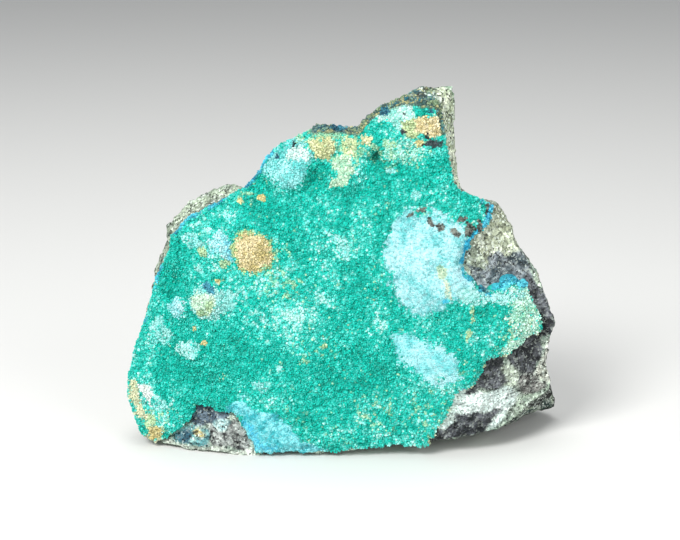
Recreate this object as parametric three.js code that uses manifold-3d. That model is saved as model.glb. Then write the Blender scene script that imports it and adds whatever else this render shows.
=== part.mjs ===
// A broken slab of rock that stands on its foot, with a crust of tiny green crystals over its front.
// Millimetres. +X is to the right, +Z is up, and the crusted face looks towards -Y.
// Depths are counted backwards from the foremost line of the crust at the foot.

import * as THREE from "three";
import Module from "manifold-3d";

// Driving dimensions
const FRONT_Y = -18;          // y of the foremost line
const CENTRE = [0, 43];       // x and z from which every loop is seen whole
const GRID = 32;              // cells across the front and the back sheet
const LEAN = 0.105;           // the face leans back by this much for each millimetre of height
const CRUST = 2.4;            // thickness of the crystal crust
const CRUST_RIM = 1.3;        // its thickness at the outer rim
const GAP = 0.3;              // room between the crust and the rock
const FOOT_LIFT = 0.8;        // the crust ends this far above the ground
const FACE_FACETS = 0.9;      // height of the broken facets near the rim of the face
const SIDE_FACETS = 2.1;      // height of the broken facets on the sides
const BACK_FACETS = 3.4;      // height of the broken facets on the back

// Front rim of the rock, clockwise from the shoulder at the upper right: x, z, depth
const FRONT_RIM = [
  [28, 66, 10.5], [31, 65, 10.5], [34.5, 63.2, 11.5], [37.5, 61, 13], [41, 57, 14],
  [43, 51.5, 14], [46.5, 47, 14], [49.5, 41, 13.5], [51.5, 36, 13], [53, 32, 13], [52, 28, 13],
  [50.5, 22.5, 12.5], [52.5, 15.5, 14], [51.5, 12.5, 15], [47.5, 10.5, 13], [44.5, 8, 11],
  [38.5, 5.5, 6.5], [34.5, 5.5, 5], [28, 4.5, 3.5], [23.5, 4, 3], [18, 3, 3], [12.5, 4, 3],
  [4.5, 2, 3], [-3, 0.6, 3], [-11.5, 0.5, 3], [-14.5, 1.2, 3.4], [-17.5, 0.5, 3],
  [-25.5, -0.4, 3], [-31.5, 0.5, 4], [-36.5, 0.5, 5.5], [-46, 0.8, 9], [-51.5, 3.5, 11.5],
  [-53, 8.5, 12.5], [-55, 13, 13], [-54.5, 17, 13], [-52.5, 26, 13.5], [-51, 29, 13.5],
  [-48.5, 37, 13], [-46.5, 44.5, 13], [-43, 51, 12.5], [-43, 54, 13], [-38.5, 59, 12.5],
  [-31.5, 62.5, 12.5], [-24.5, 66.5, 12.5], [-20.5, 71, 13.5], [-19, 74, 14], [-16.5, 76.5, 14.5],
  [-9.5, 80, 14], [-6.5, 82, 13.5], [3, 81.2, 13], [5, 83.5, 13], [8.5, 86.5, 13.5],
  [15, 89, 14.5], [22.5, 88, 13], [23.5, 84, 12.5], [24.5, 76.5, 11.5], [26.3, 68, 10.5],
];

// Widest loop of the rock, round its middle
const GIRDLE = [
  [27, 91.4, 20], [27.4, 84.5, 19.5], [27.5, 80, 19.5], [27.6, 73, 18], [28, 68.5, 16.5],
  [28.5, 65.8, 15.5],
  [32, 63.8, 15.5], [37.5, 62, 17], [40, 57, 21], [42.5, 51.5, 23], [43.5, 48.5, 24], [47.5, 44, 24],
  [50.5, 38, 24], [54, 29, 24], [53, 23, 24], [51, 18.5, 24], [53.5, 12.5, 26], [55, 7.5, 29],
  [56, 2.6, 32], [48.5, 1.6, 30], [42, 1.5, 24], [34, 0.5, 19], [26, -0.5, 17], [10, -1, 16],
  [-26, -1, 16], [-36, -0.5, 17], [-44, 0.5, 18], [-51.5, 1.6, 19], [-54, 5.5, 19], [-55.5, 10.5, 19],
  [-55, 15, 19], [-54, 21, 19], [-53, 26, 19], [-50.5, 34.5, 19], [-48, 42, 19], [-48.5, 44, 19],
  [-46.5, 48.5, 19], [-45, 52, 19], [-45, 55.5, 19], [-42.5, 58.5, 19], [-39.5, 61.5, 19.5],
  [-34, 64.5, 20], [-28, 66.5, 20], [-25, 65.5, 19.5], [-20.5, 70, 20], [-19, 73, 20],
  [-13.5, 77, 20], [-6.5, 80, 20], [3, 80, 20], [7, 84.5, 20], [11.5, 87.5, 20], [18.5, 90.5, 20],
  [25, 91.2, 20],
];

// Rim of the back
const BACK_RIM = [
  [22, 84, 26], [23, 76, 26], [24, 68, 26], [27, 61, 28], [33, 56, 30], [38, 49, 32], [43, 41, 33],
  [47.5, 33, 34], [48, 25, 35], [48, 17, 36], [51, 9, 37], [52, 3.5, 37.5], [45, 1.4, 38],
  [34, 0.8, 38], [20, 0.8, 37.5], [4, 0.8, 37], [-12, 0.8, 36.5], [-28, 1, 35], [-40, 2, 33],
  [-48, 4.5, 31], [-51, 10, 30], [-50.5, 18, 29.5], [-48, 27, 29], [-44.5, 37, 28.5],
  [-41, 46, 28], [-38, 53, 27], [-31, 59, 26.5], [-23, 62, 26], [-17, 67, 26], [-11, 72, 26],
  [-3, 75, 26], [4, 77, 26], [10, 82, 26], [17, 86, 26],
];

// Directions of the sharp corners, which the sampling has to meet: x and z
const CORNERS = [[27, 91.4], [27.5, 66.8], [37.5, 61.5], [53.8, 30], [51, 20.5], [56, 2.6],
  [-53.5, 4.5], [-55.3, 12], [-45, 54], [-25.5, 65.6], [-18.5, 74.5], [4, 81.2]];

// Edge of the crust: beyond the rim where it runs to the rim, and its broken edge elsewhere
const CRUST_EDGE = [
  [27, 69], [29.5, 66.4], [34, 64.4], [37.2, 63.4], [36.7, 61], [36, 59], [34.4, 56.6], [32, 55],
  [30.4, 52], [29.4, 48.8], [31.6, 45.6], [33.2, 43], [35.2, 42.4], [38.4, 43.6], [39.6, 45],
  [42.4, 45.2], [44.4, 43.2], [45.6, 42.4], [46.8, 39], [48.6, 36.4], [49.4, 33.4], [49.6, 31],
  [49, 29.4], [47, 28.8], [45.4, 27.6], [44, 26.4], [42, 25.4], [39, 24.4], [36, 23.8], [34.4, 21.6],
  [33, 18.8], [30.4, 17.4], [27.6, 15.6], [26.8, 13], [25.4, 10.6], [24, 7.8], [21.2, 3],
  [12, 2.4], [4, 1.6], [-4, FOOT_LIFT], [-23, FOOT_LIFT], [-23.7, 4], [-25.4, 7.8], [-27.4, 10.2],
  [-31, 11], [-35, 12], [-37.4, 11.6], [-39, 7.6], [-42.4, 4.6], [-45.5, 2.2], [-49, 1], [-56, 1],
  [-60, 30], [-48, 62], [-24, 76], [-12, 90], [14, 96], [30, 96], [26, 80],
];

// Knobs and hollows of the crust: x, z, radius, height
const KNOBS = [
  [-22.5, 52.5, 6, 1.8], [-34.5, 40, 5.5, 3.6], [-14.5, 73.5, 8, 3.8], [-5.5, 78, 5, 3],
  [-0.5, 71.5, 6, 3.6], [4, 79.5, 5.5, 2.4], [11.5, 78, 5.5, 2], [16, 85, 8, 2.4],
  [21, 25, 9, 2.6], [21, 48, 13, 2.6], [-31.5, 53.5, 5, 1.6], [-48, 6, 3.5, 1.6],
  [-41.5, 36.5, 3.5, 1.6], [-39, 26, 4, 1.6], [-46, 30, 4, 1.4], [-20, 66, 5.5, -1.2],
  [-7.5, 70, 3.4, -1.2], [-42, 43, 5, -1.1], [7.5, 75, 3, -1.6], [-34, 18, 7, -1], [-25, 15, 7, -1],
  [2, 58, 12, 1], [-10, 38, 12, 1], [40, 34, 7, 1.4],
];

const fract = (v) => v - Math.floor(v);
const clamp01 = (v) => Math.min(1, Math.max(0, v));
const lerp = (a, b, t) => a + (b - a) * t;
const hash = (i, j, k) => fract(Math.sin(i * 127.1 + j * 311.7 + k * 74.7) * 43758.5453);

function smooth(low, high, v) {
  const t = clamp01((v - low) / (high - low));
  return t * t * (3 - 2 * t);
}

// Rolling unevenness between -0.5 and 0.5
function roll(x, z, size, k) {
  const i = Math.floor(x / size);
  const j = Math.floor(z / size);
  const u = smooth(0, 1, x / size - i);
  const v = smooth(0, 1, z / size - j);
  const low = lerp(hash(i, j, k), hash(i + 1, j, k), u);
  const high = lerp(hash(i, j + 1, k), hash(i + 1, j + 1, k), u);
  return lerp(low, high, v) - 0.5;
}

// Flat tilted facets with steps between them, as rock breaks: about -1 to 1
function facet(a, b, size, k) {
  const ci = Math.floor(a / size);
  const cj = Math.floor(b / size);
  let nearest = Infinity;
  let value = 0;
  for (let i = ci - 1; i <= ci + 1; i += 1) {
    for (let j = cj - 1; j <= cj + 1; j += 1) {
      const da = a / size - i - 0.15 - 0.7 * hash(i, j, k);
      const db = b / size - j - 0.15 - 0.7 * hash(i, j, k + 1);
      const distance = da * da + db * db;
      if (distance < nearest) {
        nearest = distance;
        const tilt = (hash(i, j, k + 2) - 0.5) * da + (hash(i, j, k + 3) - 0.5) * db;
        value = hash(i, j, k + 4) - 0.5 + 1.4 * tilt;
      }
    }
  }
  return value;
}

// Where the ray from the centre at an angle leaves a loop: x, z, depth
function onLoop(loop, angle) {
  const dx = Math.cos(angle);
  const dz = Math.sin(angle);
  let best = null;
  let reach = -1;
  for (let n = 0; n < loop.length; n += 1) {
    const a = loop[n];
    const b = loop[(n + 1) % loop.length];
    const ax = a[0] - CENTRE[0];
    const az = a[1] - CENTRE[1];
    const ex = b[0] - a[0];
    const ez = b[1] - a[1];
    const det = dx * ez - dz * ex;
    if (Math.abs(det) < 1e-9) continue;
    const along = (ax * ez - az * ex) / det;
    const t = (ax * dz - az * dx) / det;
    if (t >= 0 && t <= 1 && along > reach) {
      reach = along;
      best = [CENTRE[0] + along * dx, CENTRE[1] + along * dz, lerp(a[2], b[2], t)];
    }
  }
  return best;
}

// Angles of the rim points, even except that one meets each sharp corner
const ROUND = 4 * GRID;
const ANGLES = Array.from({ length: ROUND }, (_, n) => ((n / ROUND) * 2 - 0.25) * Math.PI);
for (const [x, z] of CORNERS) {
  const angle = Math.atan2(z - CENTRE[1], x - CENTRE[0]);
  const n = Math.round(((angle / Math.PI + 0.25) / 2) * ROUND + ROUND) % ROUND;
  ANGLES[n] = angle + (angle < ANGLES[0] - 0.1 ? 2 * Math.PI : 0);
}
const LOOP_A = ANGLES.map((angle) => onLoop(FRONT_RIM, angle));
const LOOP_B = ANGLES.map((angle) => onLoop(GIRDLE, angle));
const LOOP_C = ANGLES.map((angle) => onLoop(BACK_RIM, angle));

// Square cell corner (i, j) as a share of the way out and a place round the rim
function ring(i, j) {
  const a = (2 * i) / GRID - 1;
  const b = (2 * j) / GRID - 1;
  const out = Math.max(Math.abs(a), Math.abs(b));
  if (out === 0) return [0, 0];
  let turn;
  if (a === out && b > -out) turn = (b / out + 1) / 2;
  else if (b === out) turn = 1 + (1 - a / out) / 2;
  else if (a === -out) turn = 2 + (1 - b / out) / 2;
  else turn = 3 + (a / out + 1) / 2;
  return [out, (turn * GRID) % ROUND];
}

function inside(loop, i, j) {
  const [out, place] = ring(i, j);
  const n = Math.floor(place);
  const a = loop[n % ROUND];
  const b = loop[(n + 1) % ROUND];
  const rim = [0, 1, 2].map((k) => lerp(a[k], b[k], place - n));
  return { out, rimDepth: rim[2], x: lerp(CENTRE[0], rim[0], out), z: lerp(CENTRE[1], rim[1], out) };
}

// Depth of the rock's front: it leans back, and falls away to the left, the right and the top
function faceDepth(x, z) {
  const left = 0.28 * Math.max(0, -27 - x) ** 1.15;
  const right = 0.35 * Math.max(0, x - 31);
  const top = 0.12 * Math.max(0, z - 66);
  return 2.8 + LEAN * z + left + right + top + 0.9 * roll(x, z, 15, 1);
}

function frontPoint(i, j) {
  const p = inside(LOOP_A, i, j);
  const broken = FACE_FACETS * facet(p.x, p.z, 7, 11) * smooth(0.72, 0.9, p.out) * (1 - smooth(0.96, 1, p.out));
  const depth = lerp(faceDepth(p.x, p.z), p.rimDepth, smooth(0.8, 1, p.out)) + broken;
  return { ...p, z: Math.max(0, p.z), depth };
}

function backPoint(i, j) {
  const p = inside(LOOP_C, i, j);
  const steps = facet(p.x, p.z, 14, 31) + 0.4 * facet(p.x, p.z, 6, 37);
  const broken = BACK_FACETS * steps * (1 - smooth(0.9, 1, p.out));
  const depth = lerp(39.4 - 0.155 * p.z, p.rimDepth, smooth(0.7, 1, p.out)) + broken;
  return { ...p, depth };
}

function crustThickness(p) {
  let t = lerp(CRUST, CRUST_RIM, smooth(0.9, 1, p.out));
  t += 0.9 * roll(p.x, p.z, 8, 3) + 0.5 * roll(p.x, p.z, 4.2, 5);
  for (const [x, z, radius, height] of KNOBS) {
    const far = ((p.x - x) ** 2 + (p.z - z) ** 2) / radius ** 2;
    t += far < 1 ? height * (1 - far) ** 2 * (1 + far) : 0;
  }
  return Math.max(0.8, t);
}

// Point list and faces of one closed body, written face by face
class Body {
  constructor() {
    this.points = [];
    this.faces = [];
  }

  point(x, depth, z) {
    this.points.push([x, depth + FRONT_Y, z]);
    return this.points.length - 1;
  }

  // Four corners, anticlockwise from outside, parted along the shorter diagonal
  quad(a, b, c, d) {
    const span = (m, n) => this.points[m].reduce((sum, v, k) => sum + (v - this.points[n][k]) ** 2, 0);
    if (span(a, c) <= span(b, d)) this.faces.push([a, b, c], [a, c, d]);
    else this.faces.push([a, b, d], [b, c, d]);
  }

  // Sheet of GRID by GRID cells; returns its rim from the corner at the lower right
  sheet(place, facesFront) {
    const id = [];
    for (let i = 0; i <= GRID; i += 1) {
      id.push([]);
      for (let j = 0; j <= GRID; j += 1) id[i].push(this.point(...place(i, j)));
    }
    for (let i = 0; i < GRID; i += 1) {
      for (let j = 0; j < GRID; j += 1) {
        const cell = [id[i][j], id[i + 1][j], id[i + 1][j + 1], id[i][j + 1]];
        if (!facesFront) cell.reverse();
        this.quad(...cell);
      }
    }
    const rim = [];
    for (let n = 0; n < GRID; n += 1) rim.push(id[GRID][n]);
    for (let n = 0; n < GRID; n += 1) rim.push(id[GRID - n][GRID]);
    for (let n = 0; n < GRID; n += 1) rim.push(id[0][GRID - n]);
    for (let n = 0; n < GRID; n += 1) rim.push(id[n][0]);
    return rim;
  }

  // Belt of cells between two rims, from the front one to the back one
  belt(front, back) {
    for (let n = 0; n < ROUND; n += 1) {
      const m = (n + 1) % ROUND;
      this.quad(front[n], back[n], back[m], front[m]);
    }
  }

  solid(wasm) {
    const vertProperties = new Float32Array(this.points.flat());
    const triVerts = new Uint32Array(this.faces.flat());
    return new wasm.Manifold(new wasm.Mesh({ numProp: 3, vertProperties, triVerts }));
  }
}

// One row round the rock's side, between two loops
function sideRow(body, from, to, share, height) {
  let round = 0;
  return from.map((a, n) => {
    const b = to[n];
    const x = lerp(a[0], b[0], share);
    const z = lerp(a[1], b[1], share);
    const depth = lerp(a[2], b[2], share);
    const r = Math.hypot(x - CENTRE[0], z - CENTRE[1]);
    round += (2 * Math.PI * r) / ROUND;
    const broken = height * facet(round, depth, 9, 51) * smooth(1, 4, z);
    const grown = 1 + broken / r;
    return body.point(
      lerp(CENTRE[0], x, grown),
      depth + 0.5 * broken,
      Math.max(0, lerp(CENTRE[1], z, grown)),
    );
  });
}

function rock(wasm) {
  const body = new Body();
  const front = body.sheet((i, j) => {
    const p = frontPoint(i, j);
    return [p.x, p.depth, p.z];
  }, true);
  const back = body.sheet((i, j) => {
    const p = backPoint(i, j);
    return [p.x, p.depth, p.z];
  }, false);
  const rows = [
    front,
    sideRow(body, LOOP_A, LOOP_B, 0.5, SIDE_FACETS * 0.6),
    sideRow(body, LOOP_A, LOOP_B, 1, SIDE_FACETS * 0.25),
    sideRow(body, LOOP_B, LOOP_C, 0.35, SIDE_FACETS),
    sideRow(body, LOOP_B, LOOP_C, 0.7, SIDE_FACETS),
    back,
  ];
  for (let n = 0; n + 1 < rows.length; n += 1) body.belt(rows[n], rows[n + 1]);
  return body.solid(wasm);
}

// Prism that stands on the crust's outline, along the depth
function crustPrism(wasm) {
  const shape = new THREE.Shape(CRUST_EDGE.map(([x, z]) => new THREE.Vector2(x, z)));
  const prism = new THREE.ExtrudeGeometry(shape, { depth: 60, bevelEnabled: false });
  prism.rotateX(Math.PI / 2);
  prism.translate(0, 40, 0);
  return manifoldOf(wasm, prism);
}

function crust(wasm) {
  const body = new Body();
  const outer = body.sheet((i, j) => {
    const p = frontPoint(i, j);
    return [p.x, p.depth - GAP - crustThickness(p), p.z];
  }, true);
  const inner = body.sheet((i, j) => {
    const p = frontPoint(i, j);
    return [p.x, p.depth - GAP, p.z];
  }, false);
  body.belt(outer, inner);
  return body.solid(wasm).intersect(crustPrism(wasm));
}

// A geometry as a solid, its equal points joined
function manifoldOf(wasm, geometry) {
  const position = geometry.getAttribute("position");
  const known = new Map();
  const points = [];
  const corner = [];
  for (let n = 0; n < position.count; n += 1) {
    const p = [position.getX(n), position.getY(n), position.getZ(n)];
    const key = p.map((v) => v.toFixed(5)).join();
    if (!known.has(key)) {
      known.set(key, points.length / 3);
      points.push(...p);
    }
    corner.push(known.get(key));
  }
  const index = geometry.index ? Array.from(geometry.index.array) : corner.map((_, n) => n);
  const triVerts = new Uint32Array(index.map((n) => corner[n]));
  return new wasm.Manifold(new wasm.Mesh({ numProp: 3, vertProperties: new Float32Array(points), triVerts }));
}

function meshOf(solid, name, material) {
  const { numProp, vertProperties, triVerts } = solid.getMesh();
  const points = [];
  for (let n = 0; n < vertProperties.length; n += numProp) {
    points.push(vertProperties[n], vertProperties[n + 1], vertProperties[n + 2]);
  }
  const geometry = new THREE.BufferGeometry();
  geometry.setAttribute("position", new THREE.Float32BufferAttribute(points, 3));
  geometry.setIndex(Array.from(triVerts));
  const mesh = new THREE.Mesh(geometry, new THREE.MeshStandardMaterial(material));
  mesh.name = name;
  return mesh;
}

const wasm = await Module();
wasm.setup();

const specimen = new THREE.Group();
specimen.add(meshOf(rock(wasm), "matrix_rock", { color: "#8e8d7b", roughness: 0.9, metalness: 0 }));
specimen.add(meshOf(crust(wasm), "brochantite_crust", { color: "#25b3a2", roughness: 0.75, metalness: 0 }));

export default specimen;
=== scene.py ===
"""A specimen of brochantite with chrysocolla: a broken slab of rock with a sugary green crust over its front.

Shapes are worked out in millimetres, x to the right, z up and depth counted back from the foremost line,
and written in metres in the part's own frame.
"""
import math
import bpy
import numpy as np
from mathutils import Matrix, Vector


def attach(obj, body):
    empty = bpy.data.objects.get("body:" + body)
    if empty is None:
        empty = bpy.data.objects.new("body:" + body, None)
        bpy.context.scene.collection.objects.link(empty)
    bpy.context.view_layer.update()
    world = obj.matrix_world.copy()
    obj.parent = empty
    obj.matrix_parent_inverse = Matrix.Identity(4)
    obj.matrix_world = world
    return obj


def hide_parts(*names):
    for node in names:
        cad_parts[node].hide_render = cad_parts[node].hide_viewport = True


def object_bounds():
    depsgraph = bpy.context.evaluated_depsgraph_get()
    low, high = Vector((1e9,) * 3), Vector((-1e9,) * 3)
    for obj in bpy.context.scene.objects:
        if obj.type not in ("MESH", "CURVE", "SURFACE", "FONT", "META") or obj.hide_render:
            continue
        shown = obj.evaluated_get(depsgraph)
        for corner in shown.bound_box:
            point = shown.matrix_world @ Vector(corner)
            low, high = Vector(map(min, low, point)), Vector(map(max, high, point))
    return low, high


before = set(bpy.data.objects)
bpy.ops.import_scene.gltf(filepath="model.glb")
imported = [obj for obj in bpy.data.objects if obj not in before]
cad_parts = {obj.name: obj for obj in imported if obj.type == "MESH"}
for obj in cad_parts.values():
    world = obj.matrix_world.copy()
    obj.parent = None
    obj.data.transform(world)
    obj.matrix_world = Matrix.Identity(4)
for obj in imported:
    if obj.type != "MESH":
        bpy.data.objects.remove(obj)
cad_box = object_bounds()

# Driving dimensions, the same as the solids have
FRONT_Y = -18.0        # y of the foremost line
CENTRE = (0.0, 43.0)   # x and z from which every loop is seen whole
FACE_DEPTH = 2.8       # depth of the face at the ground
LEAN = 0.105           # the face leans back by this much for each millimetre of height
CRUST = 2.4            # thickness of the crust
CRUST_RIM = 1.3        # its thickness at the outer rim
GAP = 0.3              # room between the crust and the rock
FOOT_LIFT = 0.8        # the crust ends this far above the ground
FACE_FACETS = 0.9      # height of the broken facets near the rim of the face
SIDE_FACETS = 2.1      # height of those on the sides
BACK_FACETS = 3.4      # height of those on the back
BACK_DEPTH = 39.4      # depth of the back at the ground
BACK_LEAN = 0.155      # the back comes forward by this much for each millimetre of height

# Sizes of the finer forms
FOREMOST = 0.75        # the crust's front is held back to about this depth
ROUND_OFF = 0.6        # over how much depth it is held back
TUCK = 0.985           # size of the crust's sheet where it dips under the rock
LOWEST = 0.3           # the crust's points stay this far above the ground
BEAD = 1.1             # width of the crust's beads
INSET = 1e-6           # metres that every piece keeps from the CAD box

# Cells across each sheet, and rows round the side
ROCK_CELLS = 192
ROCK_ROWS = 24
CRUST_CELLS = 256

# Front rim of the rock, clockwise from the shoulder at the upper right: x, z, depth
FRONT_RIM = np.array([
    [28, 66, 10.5], [31, 65, 10.5], [34.5, 63.2, 11.5], [37.5, 61, 13], [41, 57, 14], [43, 51.5, 14],
    [46.5, 47, 14], [49.5, 41, 13.5], [51.5, 36, 13], [53, 32, 13], [52, 28, 13], [50.5, 22.5, 12.5],
    [52.5, 15.5, 14], [51.5, 12.5, 15], [47.5, 10.5, 13], [44.5, 8, 11], [38.5, 5.5, 6.5], [34.5, 5.5, 5],
    [28, 4.5, 3.5], [23.5, 4, 3], [18, 3, 3], [12.5, 4, 3], [4.5, 2, 3], [-3, 0.6, 3], [-11.5, 0.5, 3],
    [-14.5, 1.2, 3.4], [-17.5, 0.5, 3], [-25.5, -0.4, 3], [-31.5, 0.5, 4], [-36.5, 0.5, 5.5],
    [-46, 0.8, 9], [-51.5, 3.5, 11.5], [-53, 8.5, 12.5], [-55, 13, 13], [-54.5, 17, 13], [-52.5, 26, 13.5],
    [-51, 29, 13.5], [-48.5, 37, 13], [-46.5, 44.5, 13], [-43, 51, 12.5], [-43, 54, 13], [-38.5, 59, 12.5],
    [-31.5, 62.5, 12.5], [-24.5, 66.5, 12.5], [-20.5, 71, 13.5], [-19, 74, 14], [-16.5, 76.5, 14.5],
    [-9.5, 80, 14], [-6.5, 82, 13.5], [3, 81.2, 13], [5, 83.5, 13], [8.5, 86.5, 13.5], [15, 89, 14.5],
    [22.5, 88, 13], [23.5, 84, 12.5], [24.5, 76.5, 11.5], [26.3, 68, 10.5]])

# Widest loop of the rock, round its middle
GIRDLE = np.array([
    [27, 91.4, 20], [27.4, 84.5, 19.5], [27.5, 80, 19.5], [27.6, 73, 18], [28, 68.5, 16.5],
    [28.5, 65.8, 15.5], [32, 63.8, 15.5], [37.5, 62, 17], [40, 57, 21], [42.5, 51.5, 23], [43.5, 48.5, 24],
    [47.5, 44, 24], [50.5, 38, 24], [54, 29, 24], [53, 23, 24], [51, 18.5, 24], [53.5, 12.5, 26],
    [55, 7.5, 29], [56, 2.6, 32], [48.5, 1.6, 30], [42, 1.5, 24], [34, 0.5, 19], [26, -0.5, 17],
    [10, -1, 16], [-26, -1, 16], [-36, -0.5, 17], [-44, 0.5, 18], [-51.5, 1.6, 19], [-54, 5.5, 19],
    [-55.5, 10.5, 19], [-55, 15, 19], [-54, 21, 19], [-53, 26, 19], [-50.5, 34.5, 19], [-48, 42, 19],
    [-48.5, 44, 19], [-46.5, 48.5, 19], [-45, 52, 19], [-45, 55.5, 19], [-42.5, 58.5, 19],
    [-39.5, 61.5, 19.5], [-34, 64.5, 20], [-28, 66.5, 20], [-25, 65.5, 19.5], [-20.5, 70, 20],
    [-19, 73, 20], [-13.5, 77, 20], [-6.5, 80, 20], [3, 80, 20], [7, 84.5, 20], [11.5, 87.5, 20],
    [18.5, 90.5, 20], [25, 91.2, 20]])

# Rim of the back
BACK_RIM = np.array([
    [22, 84, 26], [23, 76, 26], [24, 68, 26], [27, 61, 28], [33, 56, 30], [38, 49, 32], [43, 41, 33],
    [47.5, 33, 34], [48, 25, 35], [48, 17, 36], [51, 9, 37], [52, 3.5, 37.5], [45, 1.4, 38], [34, 0.8, 38],
    [20, 0.8, 37.5], [4, 0.8, 37], [-12, 0.8, 36.5], [-28, 1, 35], [-40, 2, 33], [-48, 4.5, 31],
    [-51, 10, 30], [-50.5, 18, 29.5], [-48, 27, 29], [-44.5, 37, 28.5], [-41, 46, 28], [-38, 53, 27],
    [-31, 59, 26.5], [-23, 62, 26], [-17, 67, 26], [-11, 72, 26], [-3, 75, 26], [4, 77, 26], [10, 82, 26],
    [17, 86, 26]])

# Edge of the crust: beyond the rim where it runs to the rim, and its broken edge elsewhere
CRUST_EDGE = np.array([
    [27, 69], [29.5, 66.4], [34, 64.4], [37.2, 63.4], [36.7, 61], [36, 59], [34.4, 56.6], [32, 55],
    [30.4, 52], [29.4, 48.8], [31.6, 45.6], [33.2, 43], [35.2, 42.4], [38.4, 43.6], [39.6, 45],
    [42.4, 45.2], [44.4, 43.2], [45.6, 42.4], [46.8, 39], [48.6, 36.4], [49.4, 33.4], [49.6, 31],
    [49, 29.4], [47, 28.8], [45.4, 27.6], [44, 26.4], [42, 25.4], [39, 24.4], [36, 23.8], [34.4, 21.6],
    [33, 18.8], [30.4, 17.4], [27.6, 15.6], [26.8, 13], [25.4, 10.6], [24, 7.8], [21.2, 3], [12, 2.4],
    [4, 1.6], [-4, FOOT_LIFT], [-23, FOOT_LIFT], [-23.7, 4], [-25.4, 7.8], [-27.4, 10.2], [-31, 11],
    [-35, 12], [-37.4, 11.6], [-39, 7.6], [-42.4, 4.6], [-45.5, 2.2], [-49, 1], [-56, 1], [-60, 30],
    [-48, 62], [-24, 76], [-12, 90], [14, 96], [30, 96], [26, 80]])

# Knobs and hollows of the crust: x, z, radius, height
KNOBS = [
    [-22.5, 52.5, 6, 1.8], [-34.5, 40, 5.5, 3.6], [-14.5, 73.5, 8, 3.8], [-5.5, 78, 5, 3],
    [-0.5, 71.5, 6, 3.6], [4, 79.5, 5.5, 2.4], [11.5, 78, 5.5, 2], [16, 85, 8, 2.4], [21, 25, 9, 2.6],
    [21, 48, 13, 2.6], [-31.5, 53.5, 5, 1.6], [-48, 6, 3.5, 1.6], [-41.5, 36.5, 3.5, 1.6],
    [-39, 26, 4, 1.6], [-46, 30, 4, 1.4], [-20, 66, 5.5, -1.2], [-7.5, 70, 3.4, -1.2], [-42, 43, 5, -1.1],
    [7.5, 75, 3, -1.6], [-34, 18, 7, -1], [-25, 15, 7, -1], [2, 58, 12, 1], [-10, 38, 12, 1],
    [40, 34, 7, 1.4]]

# The two chrysocolla fields and the wedge at the foot: x, z round each
BIG_FIELD = np.array([
    [13.5, 61], [17, 62], [21, 62], [24.5, 61], [28, 59.5], [30.5, 57.5], [31.5, 54], [30, 50.5],
    [31, 47.5], [34, 44], [31, 41.5], [28, 40], [24.5, 38.5], [22, 37.5], [19.5, 36.5], [16.5, 37],
    [14.5, 39], [12.5, 42], [11, 45.5], [9.5, 49.5], [9.5, 53], [10.5, 57]])
OVAL_FIELD = np.array([
    [13, 31.5], [16.5, 32], [20, 31], [23, 29], [26, 27], [28, 24.5], [28, 21.5], [26.5, 19.5],
    [23.5, 19.5], [20.5, 20.5], [17.5, 22.5], [14.5, 25], [12.5, 28.5]])
WEDGE_FIELD = np.array([
    [-29, 12], [-27.5, 14.5], [-25.5, 14.5], [-23.5, 13], [-20.5, 12], [-17.5, 10.5], [-15, 9], [-12.5, 7],
    [-11, 5], [-8.5, 3.5], [-4, 0], [-24, 0], [-26, 8]])


def smooth(low, high, v):
    """S-curve: 3t squared less 2t cubed, with t the share of the way from low to high."""
    t = np.clip((v - low) / (high - low), 0, 1)
    return t * t * (3 - 2 * t)


def lerp(a, b, t):
    """Straight mix of a and b."""
    return a + (b - a) * t


def chance(i, j, k, l=0.0):
    """Number from 0 to 1 for a lattice place: what is left of a large sine after its whole part."""
    v = np.sin(i * 127.1 + j * 311.7 + k * 74.7 + l * 19.3) * 43758.5453
    return v - np.floor(v)


def roll(x, z, size, k):
    """Rolling unevenness, -0.5 to 0.5: chance at the lattice corners, mixed by S-curves between them."""
    i = np.floor(x / size)
    j = np.floor(z / size)
    u = smooth(0, 1, x / size - i)
    v = smooth(0, 1, z / size - j)
    low = lerp(chance(i, j, k), chance(i + 1, j, k), u)
    high = lerp(chance(i, j + 1, k), chance(i + 1, j + 1, k), u)
    return lerp(low, high, v) - 0.5


def roll3(p, size, k):
    """The same as roll, through space: p holds x, depth and z in its last axis."""
    q = p / size
    c = np.floor(q)
    w = smooth(0, 1, q - c)
    i, j, l = c[..., 0], c[..., 1], c[..., 2]
    layers = []
    for up in (0, 1):
        near = lerp(chance(i, j, k, l + up), chance(i + 1, j, k, l + up), w[..., 0])
        far = lerp(chance(i, j + 1, k, l + up), chance(i + 1, j + 1, k, l + up), w[..., 0])
        layers.append(lerp(near, far, w[..., 1]))
    return lerp(layers[0], layers[1], w[..., 2]) - 0.5


def facet(a, b, size, k):
    """Flat tilted facets with steps between: the nearest of the jittered cell centres lends its plane."""
    ci = np.floor(a / size)
    cj = np.floor(b / size)
    nearest = np.full(np.shape(a), np.inf)
    value = np.zeros(np.shape(a))
    for di in (-1, 0, 1):
        for dj in (-1, 0, 1):
            i = ci + di
            j = cj + dj
            da = a / size - i - 0.15 - 0.7 * chance(i, j, k)
            db = b / size - j - 0.15 - 0.7 * chance(i, j, k + 1)
            tilt = (chance(i, j, k + 2) - 0.5) * da + (chance(i, j, k + 3) - 0.5) * db
            plane = chance(i, j, k + 4) - 0.5 + 1.4 * tilt
            far = da * da + db * db
            value = np.where(far < nearest, plane, value)
            nearest = np.minimum(far, nearest)
    return value


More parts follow.
